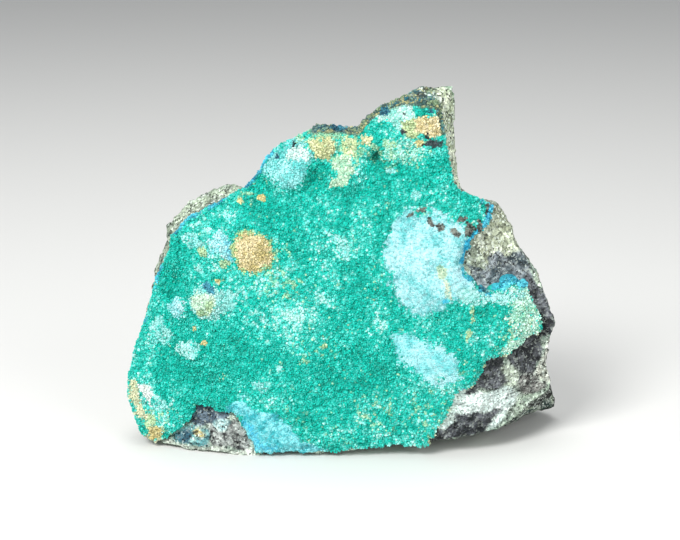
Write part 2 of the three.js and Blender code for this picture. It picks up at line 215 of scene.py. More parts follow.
def beads(x, z, size, k):
    """Uneven round beads side by side: one at each scattered cell centre, nothing where two beads meet, an
    S-curve of the distance to the nearest centre between. The lattice is bent by roll first."""
    u = x / size + 1.3 * roll(x, z, 2.6 * size, k + 2) + 0.3 * z / size
    v = z / size + 1.3 * roll(x, z, 2.6 * size, k + 3) - 0.3 * x / size
    nearest = np.full(np.shape(x), np.inf)
    for di in (-1, 0, 1):
        for dj in (-1, 0, 1):
            i = np.floor(u) + di
            j = np.floor(v) + dj
            nearest = np.minimum((u - i - chance(i, j, k)) ** 2 + (v - j - chance(i, j, k + 1)) ** 2, nearest)
    return 1 - smooth(0.1, 0.75, np.sqrt(nearest))


def shards(p, size, k):
    """Facets through space: each point takes the tilted plane of the nearest jittered cell centre."""
    q = p / size
    c = np.floor(q)
    nearest = np.full(p.shape[:-1], np.inf)
    value = np.zeros(p.shape[:-1])
    for di in (-1, 0, 1):
        for dj in (-1, 0, 1):
            for dl in (-1, 0, 1):
                i, j, l = c[..., 0] + di, c[..., 1] + dj, c[..., 2] + dl
                d = [q[..., n] - m - 0.1 - 0.8 * chance(i, j, k + n, l) for n, m in enumerate((i, j, l))]
                tilt = sum((chance(i, j, k + 4 + n, l) - 0.5) * d[n] for n in range(3))
                far = d[0] ** 2 + d[1] ** 2 + d[2] ** 2
                value = np.where(far < nearest, 0.6 * (chance(i, j, k + 8, l) - 0.5) + 1.6 * tilt, value)
                nearest = np.minimum(far, nearest)
    return value


def on_loop(loop, angle):
    """Farthest crossing of the ray from the centre at each angle with a loop: x, z, depth."""
    dx, dz = np.cos(angle)[:, None], np.sin(angle)[:, None]
    a, b = loop, np.roll(loop, -1, axis=0)
    ax, az = a[:, 0] - CENTRE[0], a[:, 1] - CENTRE[1]
    ex, ez = b[:, 0] - a[:, 0], b[:, 1] - a[:, 1]
    det = dx * ez - dz * ex
    det = np.where(np.abs(det) < 1e-9, 1e-9, det)
    reach = (ax * ez - az * ex) / det
    share = (ax * dz - az * dx) / det
    reach = np.where((share >= -1e-6) & (share <= 1 + 1e-6), reach, -1)
    pick = np.argmax(reach, axis=1)
    row = np.arange(len(angle))
    depth = lerp(a[pick, 2], b[pick, 2], share[row, pick])
    out = reach[row, pick]
    return np.stack([CENTRE[0] + out * dx[:, 0], CENTRE[1] + out * dz[:, 0], depth], 1)


def rim_angles(cells):
    """Even angles round the rim, anticlockwise from the lower right corner of the sheet."""
    return ((np.arange(4 * cells) / (4 * cells)) * 2 - 0.25) * math.pi


def ring(cells):
    """Each grid corner's share of the way out, the larger of its two distances from the middle line, and its
    place along the rim in cells."""
    a, b = np.meshgrid(np.linspace(-1, 1, cells + 1), np.linspace(-1, 1, cells + 1), indexing="ij")
    out = np.maximum(np.abs(a), np.abs(b))
    safe = np.where(out == 0, 1, out)
    turn = np.select(
        [(a == out) & (b > -out), b == out, a == -out],
        [(b / safe + 1) / 2, 1 + (1 - a / safe) / 2, 2 + (1 - b / safe) / 2],
        3 + (a / safe + 1) / 2)
    return out, np.where(out == 0, 0, (turn * cells) % (4 * cells))


def sheet_points(loop, cells, crowd):
    """A square grid drawn onto the loop's inside: each corner lies between the centre and the rim, crowded
    towards the rim by mixing the share s with s times (2 - s). Gives out, x, z and the rim's depth."""
    out, place = ring(cells)
    out = lerp(out, out * (2 - out), crowd)
    n = np.floor(place).astype(int)
    rim = on_loop(loop, rim_angles(cells))
    a, b = rim[n % len(rim)], rim[(n + 1) % len(rim)]
    at = a + (b - a) * (place - n)[..., None]
    return out, lerp(CENTRE[0], at[..., 0], out), lerp(CENTRE[1], at[..., 1], out), at[..., 2]


def field_distance(x, z, field):
    """Distance to a field's outline, positive inside: nearest point of any edge, signed by edge crossings."""
    px, pz = np.ravel(x)[:, None], np.ravel(z)[:, None]
    a, b = field, np.roll(field, -1, axis=0)
    e = b - a
    t = np.clip(((px - a[:, 0]) * e[:, 0] + (pz - a[:, 1]) * e[:, 1]) / (e ** 2).sum(1), 0, 1)
    near = np.sqrt(((px - a[:, 0] - t * e[:, 0]) ** 2 + (pz - a[:, 1] - t * e[:, 1]) ** 2).min(1))
    level = (a[:, 1] > pz) != (b[:, 1] > pz)
    slope = np.where(e[:, 1] == 0, 1e-9, e[:, 1])
    right = px < a[:, 0] + e[:, 0] * (pz - a[:, 1]) / slope
    within = (level & right).sum(1) % 2 == 1
    return np.where(within, near, -near).reshape(np.shape(x))


def face_depth(x, z):
    """Depth of the rock's front: leaning back with height, rolling, and falling away beyond a line at the
    left, the right and the top."""
    left = 0.28 * np.maximum(0, -27 - x) ** 1.15
    right = 0.35 * np.maximum(0, x - 31)
    top = 0.12 * np.maximum(0, z - 66)
    return FACE_DEPTH + LEAN * z + left + right + top + 0.9 * roll(x, z, 15, 1)


def front_depth(out, x, z, rim_depth):
    """The face's depth, easing into the rim's depth over the outer fifth, with broken facets near the rim."""
    broken = FACE_FACETS * facet(x, z, 7, 11) * smooth(0.72, 0.9, out) * (1 - smooth(0.96, 1, out))
    return lerp(face_depth(x, z), rim_depth, smooth(0.8, 1, out)) + broken


def crust_thickness(out, x, z):
    """The crust's thickness: thinner at the rim, uneven, with each knob a round swelling: its height, times
    one less f, squared, times one and f, where f is the squared distance over the squared radius."""
    t = lerp(CRUST, CRUST_RIM, smooth(0.9, 1, out))
    t = t + 0.9 * roll(x, z, 8, 3) + 0.5 * roll(x, z, 4.2, 5)
    for kx, kz, radius, height in KNOBS:
        far = np.minimum(1, ((x - kx) ** 2 + (z - kz) ** 2) / radius ** 2)
        t = t + height * (1 - far) ** 2 * (1 + far)
    return np.maximum(0.8, t)


def crust_cover(x, z):
    """How far a place lies inside the crust's edge, in mm, the edge made ragged by two sizes of roll."""
    return field_distance(x, z, CRUST_EDGE) + 1.3 * roll(x, z, 2.4, 61) + 0.8 * roll(x, z, 1.1, 63)


def sheet_faces(cells, first, faces_front):
    """Two triangles to each cell, turned outwards."""
    n = np.arange((cells + 1) ** 2).reshape(cells + 1, cells + 1) + first
    a, b, c, d = n[:-1, :-1], n[1:, :-1], n[1:, 1:], n[:-1, 1:]
    if not faces_front:
        b, d = d, b
    return np.concatenate([np.stack([a, b, c], -1).reshape(-1, 3), np.stack([a, c, d], -1).reshape(-1, 3)])


def sheet_rim(cells, first):
    """Numbers of the rim's points, anticlockwise from the lower right corner."""
    n = np.arange((cells + 1) ** 2).reshape(cells + 1, cells + 1) + first
    return np.concatenate([n[-1, :-1], n[:0:-1, -1], n[0, :0:-1], n[:-1, 0]])


def belt_faces(front, back):
    """Two triangles to each cell of the belt between two rims."""
    f, b = np.roll(front, -1), np.roll(back, -1)
    return np.concatenate([np.stack([front, back, b], -1), np.stack([front, b, f], -1)])


def point_normals(points, faces):
    """Each point's outward direction: the sum of its faces' cross products, made one long."""
    a, b, c = (points[faces[:, n]] for n in range(3))
    cross = np.cross(b - a, c - a)
    total = np.zeros_like(points)
    for axis in range(3):
        for n in range(3):
            total[:, axis] += np.bincount(faces[:, n], cross[:, axis], len(points))
    return total / np.maximum(1e-12, np.linalg.norm(total, axis=1))[:, None]


def linear(code):
    """An sRGB hex colour as linear red, green and blue."""
    v = np.array([int(code[n:n + 2], 16) for n in (1, 3, 5)]) / 255
    return np.where(v <= 0.04045, v / 12.92, ((v + 0.055) / 1.055) ** 2.4)


def piece(name, points, faces, tint, shade_smooth, **shares):
    """A mesh from points (x, depth, z in mm), faces, a colour and named shares for each point."""
    place = np.stack([points[:, 0], points[:, 1] + FRONT_Y, points[:, 2]], 1) * 0.001
    place = np.clip(place, np.array(cad_box[0]) + INSET, np.array(cad_box[1]) - INSET)
    mesh = bpy.data.meshes.new(name)
    mesh.vertices.add(len(place))
    mesh.vertices.foreach_set("co", place.ravel())
    mesh.loops.add(faces.size)
    mesh.loops.foreach_set("vertex_index", faces.ravel().astype(np.int32))
    mesh.polygons.add(len(faces))
    mesh.polygons.foreach_set("loop_start", np.arange(0, faces.size, 3, dtype=np.int32))
    mesh.update(calc_edges=True)
    mesh.polygons.foreach_set("use_smooth", np.full(len(faces), shade_smooth))
    layer = mesh.attributes.new("tint", "FLOAT_COLOR", "POINT")
    layer.data.foreach_set("color", np.concatenate([tint, np.ones((len(tint), 1))], 1).ravel())
    for share, values in shares.items():
        mesh.attributes.new(share, "FLOAT", "POINT").data.foreach_set("value", np.ravel(values))
    thing = bpy.data.objects.new(name, mesh)
    bpy.context.scene.collection.objects.link(thing)
    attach(thing, "root")
    return thing


# The rock: a front sheet, a belt round the side and a back sheet, one closed surface

def side_row(a, b, share, height, round_mm):
    """One row round the side between two loops: the straight mix, grown outwards by broken facets."""
    p = lerp(a, b, share)
    dx, dz = p[:, 0] - CENTRE[0], p[:, 1] - CENTRE[1]
    broken = height * facet(round_mm, p[:, 2], 9, 51) * smooth(1, 4, p[:, 1])
    grown = 1 + broken / np.hypot(dx, dz)
    up = np.maximum(0, CENTRE[1] + dz * grown)
    return np.stack([CENTRE[0] + dx * grown, p[:, 2] + 0.5 * broken, up], 1)


def rock_points():
    """Points and faces of the rock before its fine roughness. The belt runs from the front rim to the girdle
    and on to the rim of the back, with facets that rise from each loop and fall to the next."""
    out, x, z, rim = sheet_points(FRONT_RIM, ROCK_CELLS, 0.5)
    front = np.stack([x, front_depth(out, x, z, rim), np.maximum(0, z)], -1).reshape(-1, 3)
    out, x, z, rim = sheet_points(BACK_RIM, ROCK_CELLS, 0.0)
    steps = facet(x, z, 14, 31) + 0.4 * facet(x, z, 6, 37)
    broken = BACK_FACETS * steps * (1 - smooth(0.9, 1, out))
    depth = lerp(BACK_DEPTH - BACK_LEAN * z, rim, smooth(0.7, 1, out)) + broken
    back = np.stack([x, depth, z], -1).reshape(-1, 3)
    a, b, c = (on_loop(loop, rim_angles(ROCK_CELLS)) for loop in (FRONT_RIM, GIRDLE, BACK_RIM))
    r = np.hypot(b[:, 0] - CENTRE[0], b[:, 1] - CENTRE[1])
    round_mm = np.cumsum(2 * math.pi * r / len(r))
    rows = []
    for n in range(1, ROCK_ROWS):
        s = 2 * n / ROCK_ROWS
        if s <= 1:
            height = SIDE_FACETS * min(0.6, 2 * s, 0.25 + 1.2 * (1 - s))
            rows.append(side_row(a, b, s, height, round_mm))
        else:
            height = SIDE_FACETS * min(1, 0.25 + 2.2 * (s - 1), 4 * (2 - s))
            rows.append(side_row(b, c, s - 1, height, round_mm))
    count, ring_count = len(front), 4 * ROCK_CELLS
    rims = [sheet_rim(ROCK_CELLS, 0)]
    rims += [np.arange(ring_count) + 2 * count + n * ring_count for n in range(len(rows))]
    rims.append(sheet_rim(ROCK_CELLS, count))
    faces = [sheet_faces(ROCK_CELLS, 0, True), sheet_faces(ROCK_CELLS, count, False)]
    faces += [belt_faces(rims[n], rims[n + 1]) for n in range(len(rims) - 1)]
    return np.concatenate([front, back, *rows]), np.concatenate(faces)


# Colours of the rock's front: darker tone, lighter tone, how dark the stone is, then the outlines (x, z)
ROCK_FIELDS = [
    ("#98a087", "#e2ebd2", -0.2, [
        [[28, 52], [31, 56.5], [37, 63], [41.5, 58], [43.5, 51.5], [44.5, 49], [38, 49], [33, 45.5],
         [28, 46]]]),
    ("#76806f", "#c6d4bd", 0.2, [
        [[28, 50], [31, 53], [33, 53], [34, 50.5], [35.5, 48], [34.5, 45.5], [32.5, 44], [28, 47]]]),
    ("#cfe3dd", "#e8f6f1", -0.6, [
        [[24, 14], [27.5, 17.5], [30.5, 19], [32, 17], [35, 16], [37.5, 16], [41, 17], [42.5, 16],
         [44, 13.5], [43.5, 11.5], [41, 9], [38.5, 6.5], [35, 5], [34, 5.5], [36, 6], [37.5, 8],
         [39.5, 10.5], [34, 10.5], [27.5, 10.5], [27.5, 8.5], [25, 6.5], [22, 8], [23, 11]]]),
    ("#98a492", "#d3e2cd", -0.5, [[[38, 17], [40, 22.5], [42, 22], [44.5, 19], [43.5, 16], [41, 16.5]]]),
    ("#39474c", "#8f989c", 0.7, [
        [[29.5, 49], [31, 46.5], [32, 42], [35.5, 40], [39, 41.5], [40, 43.5], [43, 43.5], [45, 41],
         [48, 41.5], [46.5, 45.5], [46, 47.5], [44, 50.5], [42, 50], [40.5, 49], [38.5, 51], [35, 50],
         [35.5, 48], [35, 46], [33, 47.5]]]),
    ("#1d2125", "#696d72", 1.0, [
        [[44, 42], [46, 46], [48.5, 41.5], [50.5, 39], [52.6, 34.5], [53, 31.5], [52.3, 28.8], [49, 28],
         [48, 30], [48, 34], [46, 38]],
        [[30, 15.5], [31.5, 18.5], [33, 21.5], [34, 24.5], [37, 26], [39.5, 25.5], [40, 22.5],
         [39, 21.5], [40, 20], [41, 18], [39.5, 17], [37.5, 16], [35.5, 16], [34.5, 17]],
        [[40, 26.5], [43, 27.5], [45, 29.5], [47, 30], [48.7, 29], [50.2, 25], [49.8, 22.5],
         [48.8, 20.5], [48, 18.5], [45.5, 17], [43.5, 16.5], [44.5, 19], [43.5, 20], [42, 21.5],
         [40.5, 23.5]],
        [[18, 4], [22, 7.5], [25, 6.5], [27.5, 8.5], [27.5, 10.5], [29.5, 10.5], [34, 10.5],
         [39.5, 10.5], [37.5, 8], [36, 6], [33.5, 5], [27.5, 4.2], [20, 2.5]]]),
    ("#444442", "#a3a49e", 0.6, [
        [[43.5, 16.5], [45.5, 19], [48, 18.7], [50, 16.2], [52, 15], [51, 13.3], [48, 12.7],
         [45.5, 12.7], [44, 14]]]),
    ("#6f7467", "#eef1e4", 0.0, [
        [[52.6, 31], [51.3, 26.5], [50.6, 24.5], [49.7, 21.5], [48.7, 19.2], [48.2, 17.7], [50.5, 16],
         [54, 15], [54, 18], [53, 20.5], [54, 24], [55, 29]]]),
    ("#3a4a58", "#788a97", 0.9, [
        [[-39, 6], [-38.8, 9], [-37.4, 12.4], [-35, 12.6], [-32.5, 11.6], [-29, 10.2], [-30.2, 8.4],
         [-34, 7], [-36.5, 6.5]]]),
    ("#639094", "#c6e6e2", 0.0, [
        [[-33.5, 6], [-33, 7.5], [-31, 8.5], [-29, 9], [-28.5, 8], [-29.5, 6.5], [-31.5, 5.5]]]),
    ("#141317", "#a8aeaa", 0.7, [
        [[-34.5, 5.5], [-34, 7], [-32.5, 5.5], [-30, 5.5], [-29, 7.5], [-28.5, 9.4], [-26.8, 9.4],
         [-25.5, 7.5], [-24, 4.5], [-23.5, 2], [-25, 1], [-28, 1.5], [-31, 2], [-33.5, 1.5], [-34.5, 3]]]),
    ("#568f92", "#b9e2d6", 0.2, [
        [[-43.5, 4.5], [-40, 6], [-38.8, 7.4], [-37, 6], [-34.5, 5.5], [-34.5, 1.5], [-43.5, 1.5]]]),
    ("#b0a268", "#e6dcaa", 0.0, [[[-38, 5], [-37, 6], [-35.5, 5], [-35.5, 3.5], [-37, 3.5], [-38, 4]]]),
    ("#2b5363", "#5c8590", 0.9, [
        [[-43, 3.5], [-41.5, 4.5], [-39.5, 6.2], [-38.7, 4.5], [-39.5, 2], [-41, 1.6], [-42.5, 2]]]),
    # The bottom rim at the lower left: its own white-cream colour, made paler still as painted light over the
    # shade it stands in
    ("#a6b2a4", "#f2f5e8", -0.3, [
        [[-46, 1.6], [-39.5, 1.2], [-35.5, 1.2], [-31, 1.8], [-26.5, 0.8], [-23.6, 2], [-22, 0],
         [-22, -2], [-46, -2]]]),
    ("#4c594b", "#a9b8a1", 0.3, [
        [[-57, 28], [-50, 30], [-44, 47], [-41, 57], [-31, 63], [-22, 66], [-22, 72], [-36, 70],
         [-52, 56]]]),
    # Painted light: the tower's side strip, made paler to make up for the little light that reaches this side
    ("#9dab8c", "#eef6dc", 0.0, [[[24.2, 76], [26, 67], [29.5, 66.5], [29.5, 93], [22.5, 93], [23.6, 84]]]),
]

# The layered ledge at the lower right and the layered crest of the tower: tones by layer, lowest first
LEDGE = [[45, 8.5], [47.5, 10.5], [51.5, 12], [54, 13], [57, 11], [58, 1], [46, 0], [38, 3], [42, 6.5]]
LEDGE_TONES = [(-1.0, "#10150f"), (-0.18, "#48524a"), (-0.08, "#131a16"), (0.08, "#a2b09c"),
               (0.2, "#1b3833")]
CREST_TONES = [(-1.0, "#7f9472"), (-0.3, "#3f5b58"), (-0.16, "#a9a678"), (-0.07, "#2a6f7d"),
               (0.0, "#4d6660"), (0.09, "#86a88f"), (0.16, "#1f4d5c"), (0.24, "#6b8f86"), (0.34, "#b6b07c")]

# The crest's layers on the crust: mm to a radian round the rim, and mm over the whole way out
CREST_ROUND = 8.4
CREST_OUT = 46

# Softness and raggedness of the edges of the rock's fields and of the crust's flecks, in mm
EDGE_SOFT = 0.3
EDGE_RAG = 0.45


def tone(low, high, pick):
    """The colour between two tones, by a share for each point."""
    return lerp(linear(low)[None], linear(high)[None], pick[:, None])


def stain(tint, code, share):
    """The tint mixed straight towards one colour, by a share for each point."""
    return lerp(tint, linear(code)[None], share[:, None])


def field_share(x, z, field, soft, rag, k):
    """One inside an outline and nothing outside, its edge made ragged by two sizes of roll."""
    field = np.array(field)
    low, high = field.min(0) - 2 - soft, field.max(0) + 2 + soft
    near = (x > low[0]) & (x < high[0]) & (z > low[1]) & (z < high[1])
    nx, nz = x[near], z[near]
    ragged = rag * (1.6 * roll(nx, nz, 2.6, k) + 1.2 * roll(nx, nz, 1.05, k + 1))
    share = np.zeros(x.shape)
    share[near] = smooth(-soft, soft, field_distance(nx, nz, field) + ragged)
    return share


def patch_share(x, z, cx, cz, rx, rz, k):
    """One inside an oval patch and nothing outside, its edge made ragged by roll."""
    far = np.sqrt(((x - cx) / rx) ** 2 + ((z - cz) / rz) ** 2)
    rag = 0.9 * roll(x, z, 2.9, k) + 0.8 * roll(x, z, 1.2, k + 1)
    return 1 - smooth(0.72, 1.12, far + rag)


def layered(tint, share, layer, tones):
    """Where the share holds, each layer's own tone, by how high the layer number lies."""
    for low, code in tones:
        tint = stain(tint, code, share * smooth(low, low + 0.04, layer))
    return tint


def rock_tint(p):
    """Grey-green stone in broad blotches, with dark bands, rust and green stain on the sides and the back;
    over it the front's fields, the layers of crest and ledge, and cracks where a bent roll passes through
    nothing. Gives the colour and how dark the rock is."""
    x, depth, z = p[:, 0], p[:, 1], p[:, 2]
    wide = roll3(p, 13, 71) + 0.6 * roll3(p, 5, 73)
    fine = roll3(p, 1.6, 75) + 0.6 * roll3(p, 0.75, 76)
    tint = tone("#76897c", "#b4c6b2", smooth(-0.35, 0.35, 0.7 * wide + fine))
    behind = smooth(12, 18, depth)
    bands = roll3(p * np.array([0.35, 1, 1]), 7, 77) + 0.5 * roll3(p, 2.2, 79)
    dark = 0.8 * smooth(0.16, 0.3, bands) * behind
    tint = stain(tint, "#434740", dark)
    rust = smooth(0.2, 0.4, roll3(p, 8, 87) + 0.5 * roll3(p, 2, 89)) * behind
    tint = stain(tint, "#9c8c5e", 0.55 * rust)
    green = smooth(0.22, 0.36, roll3(p, 9, 81) + 0.5 * roll3(p, 2, 83)) * smooth(14, 20, depth)
    tint = stain(tint, "#4fa596", 0.55 * green)
    on_front = 1 - smooth(18, 22, depth)
    for n, (low, high, darkness, outlines) in enumerate(ROCK_FIELDS):
        speckled = tone(low, high, smooth(-0.4, 0.4, fine + 0.5 * wide))
        for outline in outlines:
            share = on_front * field_share(x, z, outline, EDGE_SOFT, EDGE_RAG, 91 + 2 * n)
            tint = lerp(tint, speckled, share[:, None])
            dark = lerp(dark, darkness, share)
    crest = smooth(80, 82, z) * smooth(-9, -7, x) * (1 - smooth(21, 23, x)) * (1 - smooth(19, 21, depth))
    layer = roll(x * 0.3 + 9, z + 0.5 * depth, 1.5, 84) + 0.6 * roll3(p, 0.9, 86)
    tint = layered(tint, crest, layer, CREST_TONES)
    ledge = field_share(x, z, LEDGE, 0.4, 0.5, 99) * (1 - smooth(33, 36, depth))
    tint = layered(tint, ledge, roll(0.35 * x, z - 0.45 * x, 1.1, 88) + 0.6 * fine, LEDGE_TONES)
    crack = np.abs(roll3(p * np.array([0.8, 1, 1.5]), 4.6, 93) + 0.25 * roll3(p, 1.2, 94))
    crack = (1 - smooth(0.006, 0.03, crack)) * smooth(-0.1, 0.15, roll3(p, 8, 95))
    return stain(tint, "#222a26", 0.85 * crack), np.clip(dark, -1, 1)


def make_rock():
    """The rock, its points moved along the outward direction by two sizes of shards and by grit, and drawn in
    where the crust covers it. The flat foot stays as it is."""
    points, faces = rock_points()
    rough = 0.9 * shards(points, 3.4, 101) + 0.5 * shards(points, 1.5, 111) + 0.35 * roll3(points, 0.8, 121)
    lift = 0.55 * rough - 0.15
    covered = smooth(-0.3, 0.6, crust_cover(points[:, 0], points[:, 2])) * (points[:, 1] < 16)
    lift = lerp(lift, np.minimum(0, 0.5 * lift) - 0.2, covered)
    moved = points + point_normals(points, faces) * lift[:, None]
    foot = points[:, 2] < 0.02
    moved = np.where(foot[:, None], points, moved)
    moved[:, 2] = np.maximum(0, moved[:, 2])
    tint, dark = rock_tint(moved)
    rock = piece("rock", moved, faces, tint, True, dark=dark)
    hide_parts("matrix_rock")
    return rock


# The crust: a closed skin whose front carries the knobs and whose edge dives into the rock

# Rows of its wall, front to back: size, mm further back, and share of the way to the depth of the rock's rim
WALL_ROWS = [(1.008, 0.0, 0.5), (1.006, 0.5, 1.0), (TUCK, 1.4, 1.0)]
HUB_DEPTH = 19.0

# The green, from deep to pale: place along the level, and colour
GREENS = [(0.0, "#009f8c"), (0.28, "#00b4a1"), (0.55, "#12c2b0"), (0.76, "#45cfc1"), (0.93, "#7ae2d5"),
          (1.0, "#baf2e8")]

# Darker and paler parts of the green, mostly painted shade in hollows and on faces turned from the light and
# painted light on the rises, partly its own tone: x, z, half width, half height, how much paler
SHADE_LIGHT_AND_TONE = [
    (-36, 24, 12, 9, -0.2), (-43, 47, 4.5, 7, -0.2), (-26, 61.5, 7, 4, -0.16), (-8.5, 69.5, 3, 5, -0.3),
    (7.5, 74, 2.6, 4.5, -0.25), (31, 60.5, 4, 3, -0.22), (36, 37, 6, 5, -0.2), (5, 24, 14, 5, -0.1),
    (-30, 14, 8, 4, -0.12), (14, 70, 12, 7, -0.1), (-10.8, 35.5, 13, 9, 0.22), (-18, 46, 6, 8, 0.12),
    (-3, 55, 8, 6, 0.12), (10, 9, 14, 7, 0.14), (8, 31, 6, 8, 0.1), (-22, 32, 5, 3, 0.15),
    (17, 66.5, 4, 2.4, 0.25), (-38, 58, 8, 3, 0.1), (2, 64, 8, 3, 0.08), (-49, 10, 5, 8, 0.12),
    (-50, 23, 4, 8, 0.16), (7, 45, 3, 9, 0.15), (11, 80.5, 3, 2.6, 0.05), (2.4, 70.2, 2.4, 4.4, 0.22),
    (-27.7, 61.2, 3, 1.6, 0.2), (-35.1, 15.3, 2.5, 2.3, 0.25), (-45.7, 6, 4, 3, 0.2),
    (4.2, 15.6, 3, 2.1, 0.12), (1.2, 7.5, 3.5, 2.1, 0.15), (13, 77, 6, 3.4, 0.3),
    (-26.6, 15.6, 3, 1.8, 0.25), (5.5, 12, 2, 4, 0.14), (14, 80, 9, 5, 0.3), (3, 76, 4, 4, 0.12)]

# Where cream-yellow grains are mixed in: x, z, half width, half height, how many
YELLOW = [
    (-21, 49, 9, 7, 0.16), (-14, 44, 7, 5, 0.14), (-25, 66, 5, 3, 0.14), (-6, 79, 7, 4, 0.3),
    (3, 77, 6, 4, 0.22), (13, 76, 8, 4, 0.2), (45, 33, 6, 9, 0.34), (-48, 6, 5, 5, 0.2),
    (0, 8, 22, 5, 0.1), (8, 44, 3, 10, 0.08), (28, 20, 5, 6, 0.14), (22, 10, 5, 6, 0.14),
    (-11, 27, 9, 5, 0.08), (-5, 31, 9, 6, 0.08), (9, 14, 9, 6, 0.12), (10, 62, 9, 4, 0.05),
    (0, 50, 6, 8, 0.06)]

# Ovals of other colour on the crust: darker tone, lighter tone, strength, then x, z, half width, half height
CRUST_PATCHES = [
    ("#6fd2cb", "#c0f2ec", 0.75, [
        (-46.5, 30, 2.6, 3.4), (-39, 26.5, 2.8, 2.4), (-16.4, 22.6, 0.8, 1.1), (0, 53.5, 1.1, 2.8),
        (-20.5, 36, 1.4, 1.2), (-35.5, 46.8, 1.5, 1.0), (-2.5, 56, 1.2, 1.0), (10.5, 72.1, 2.2, 1.0),
        (-21, 18, 2.4, 1.2), (-37, 53.6, 4, 1.6), (17.1, 66.1, 2.8, 1.4), (-46.9, 11.2, 2.2, 1.6)]),
    ("#93bf90", "#c6dcae", 0.85, [
        (10.7, 78.3, 1.7, 1.1), (-49.4, 7.5, 1.4, 2.0), (-5.7, 28.5, 1.6, 1.2), (31.4, 37.6, 0.7, 2.3),
        (30.4, 31.5, 0.8, 1.4), (44, 38, 1.6, 2.2), (46, 33, 1.4, 2.2)]),
    ("#c6b673", "#e8d9a4", 0.95, [
        (17.9, 78.7, 1.3, 1.0), (-20.3, 64.9, 1.3, 0.9), (-26, 64, 1.0, 0.8), (-35.4, 28.5, 1.2, 0.8),
        (-31.6, 44.3, 0.9, 0.9), (-48.8, 5, 1.1, 0.9), (-37.6, 32, 0.8, 0.7)]),
    ("#1f9fc0", "#5fdcec", 0.85, [
        (24.9, 40.2, 1.0, 0.6), (38.2, 24.3, 0.8, 0.7), (45.3, 27.6, 1.0, 0.8), (29.3, 17.6, 1.2, 0.6),
        (-28.6, 9.6, 1.2, 0.6)]),
]

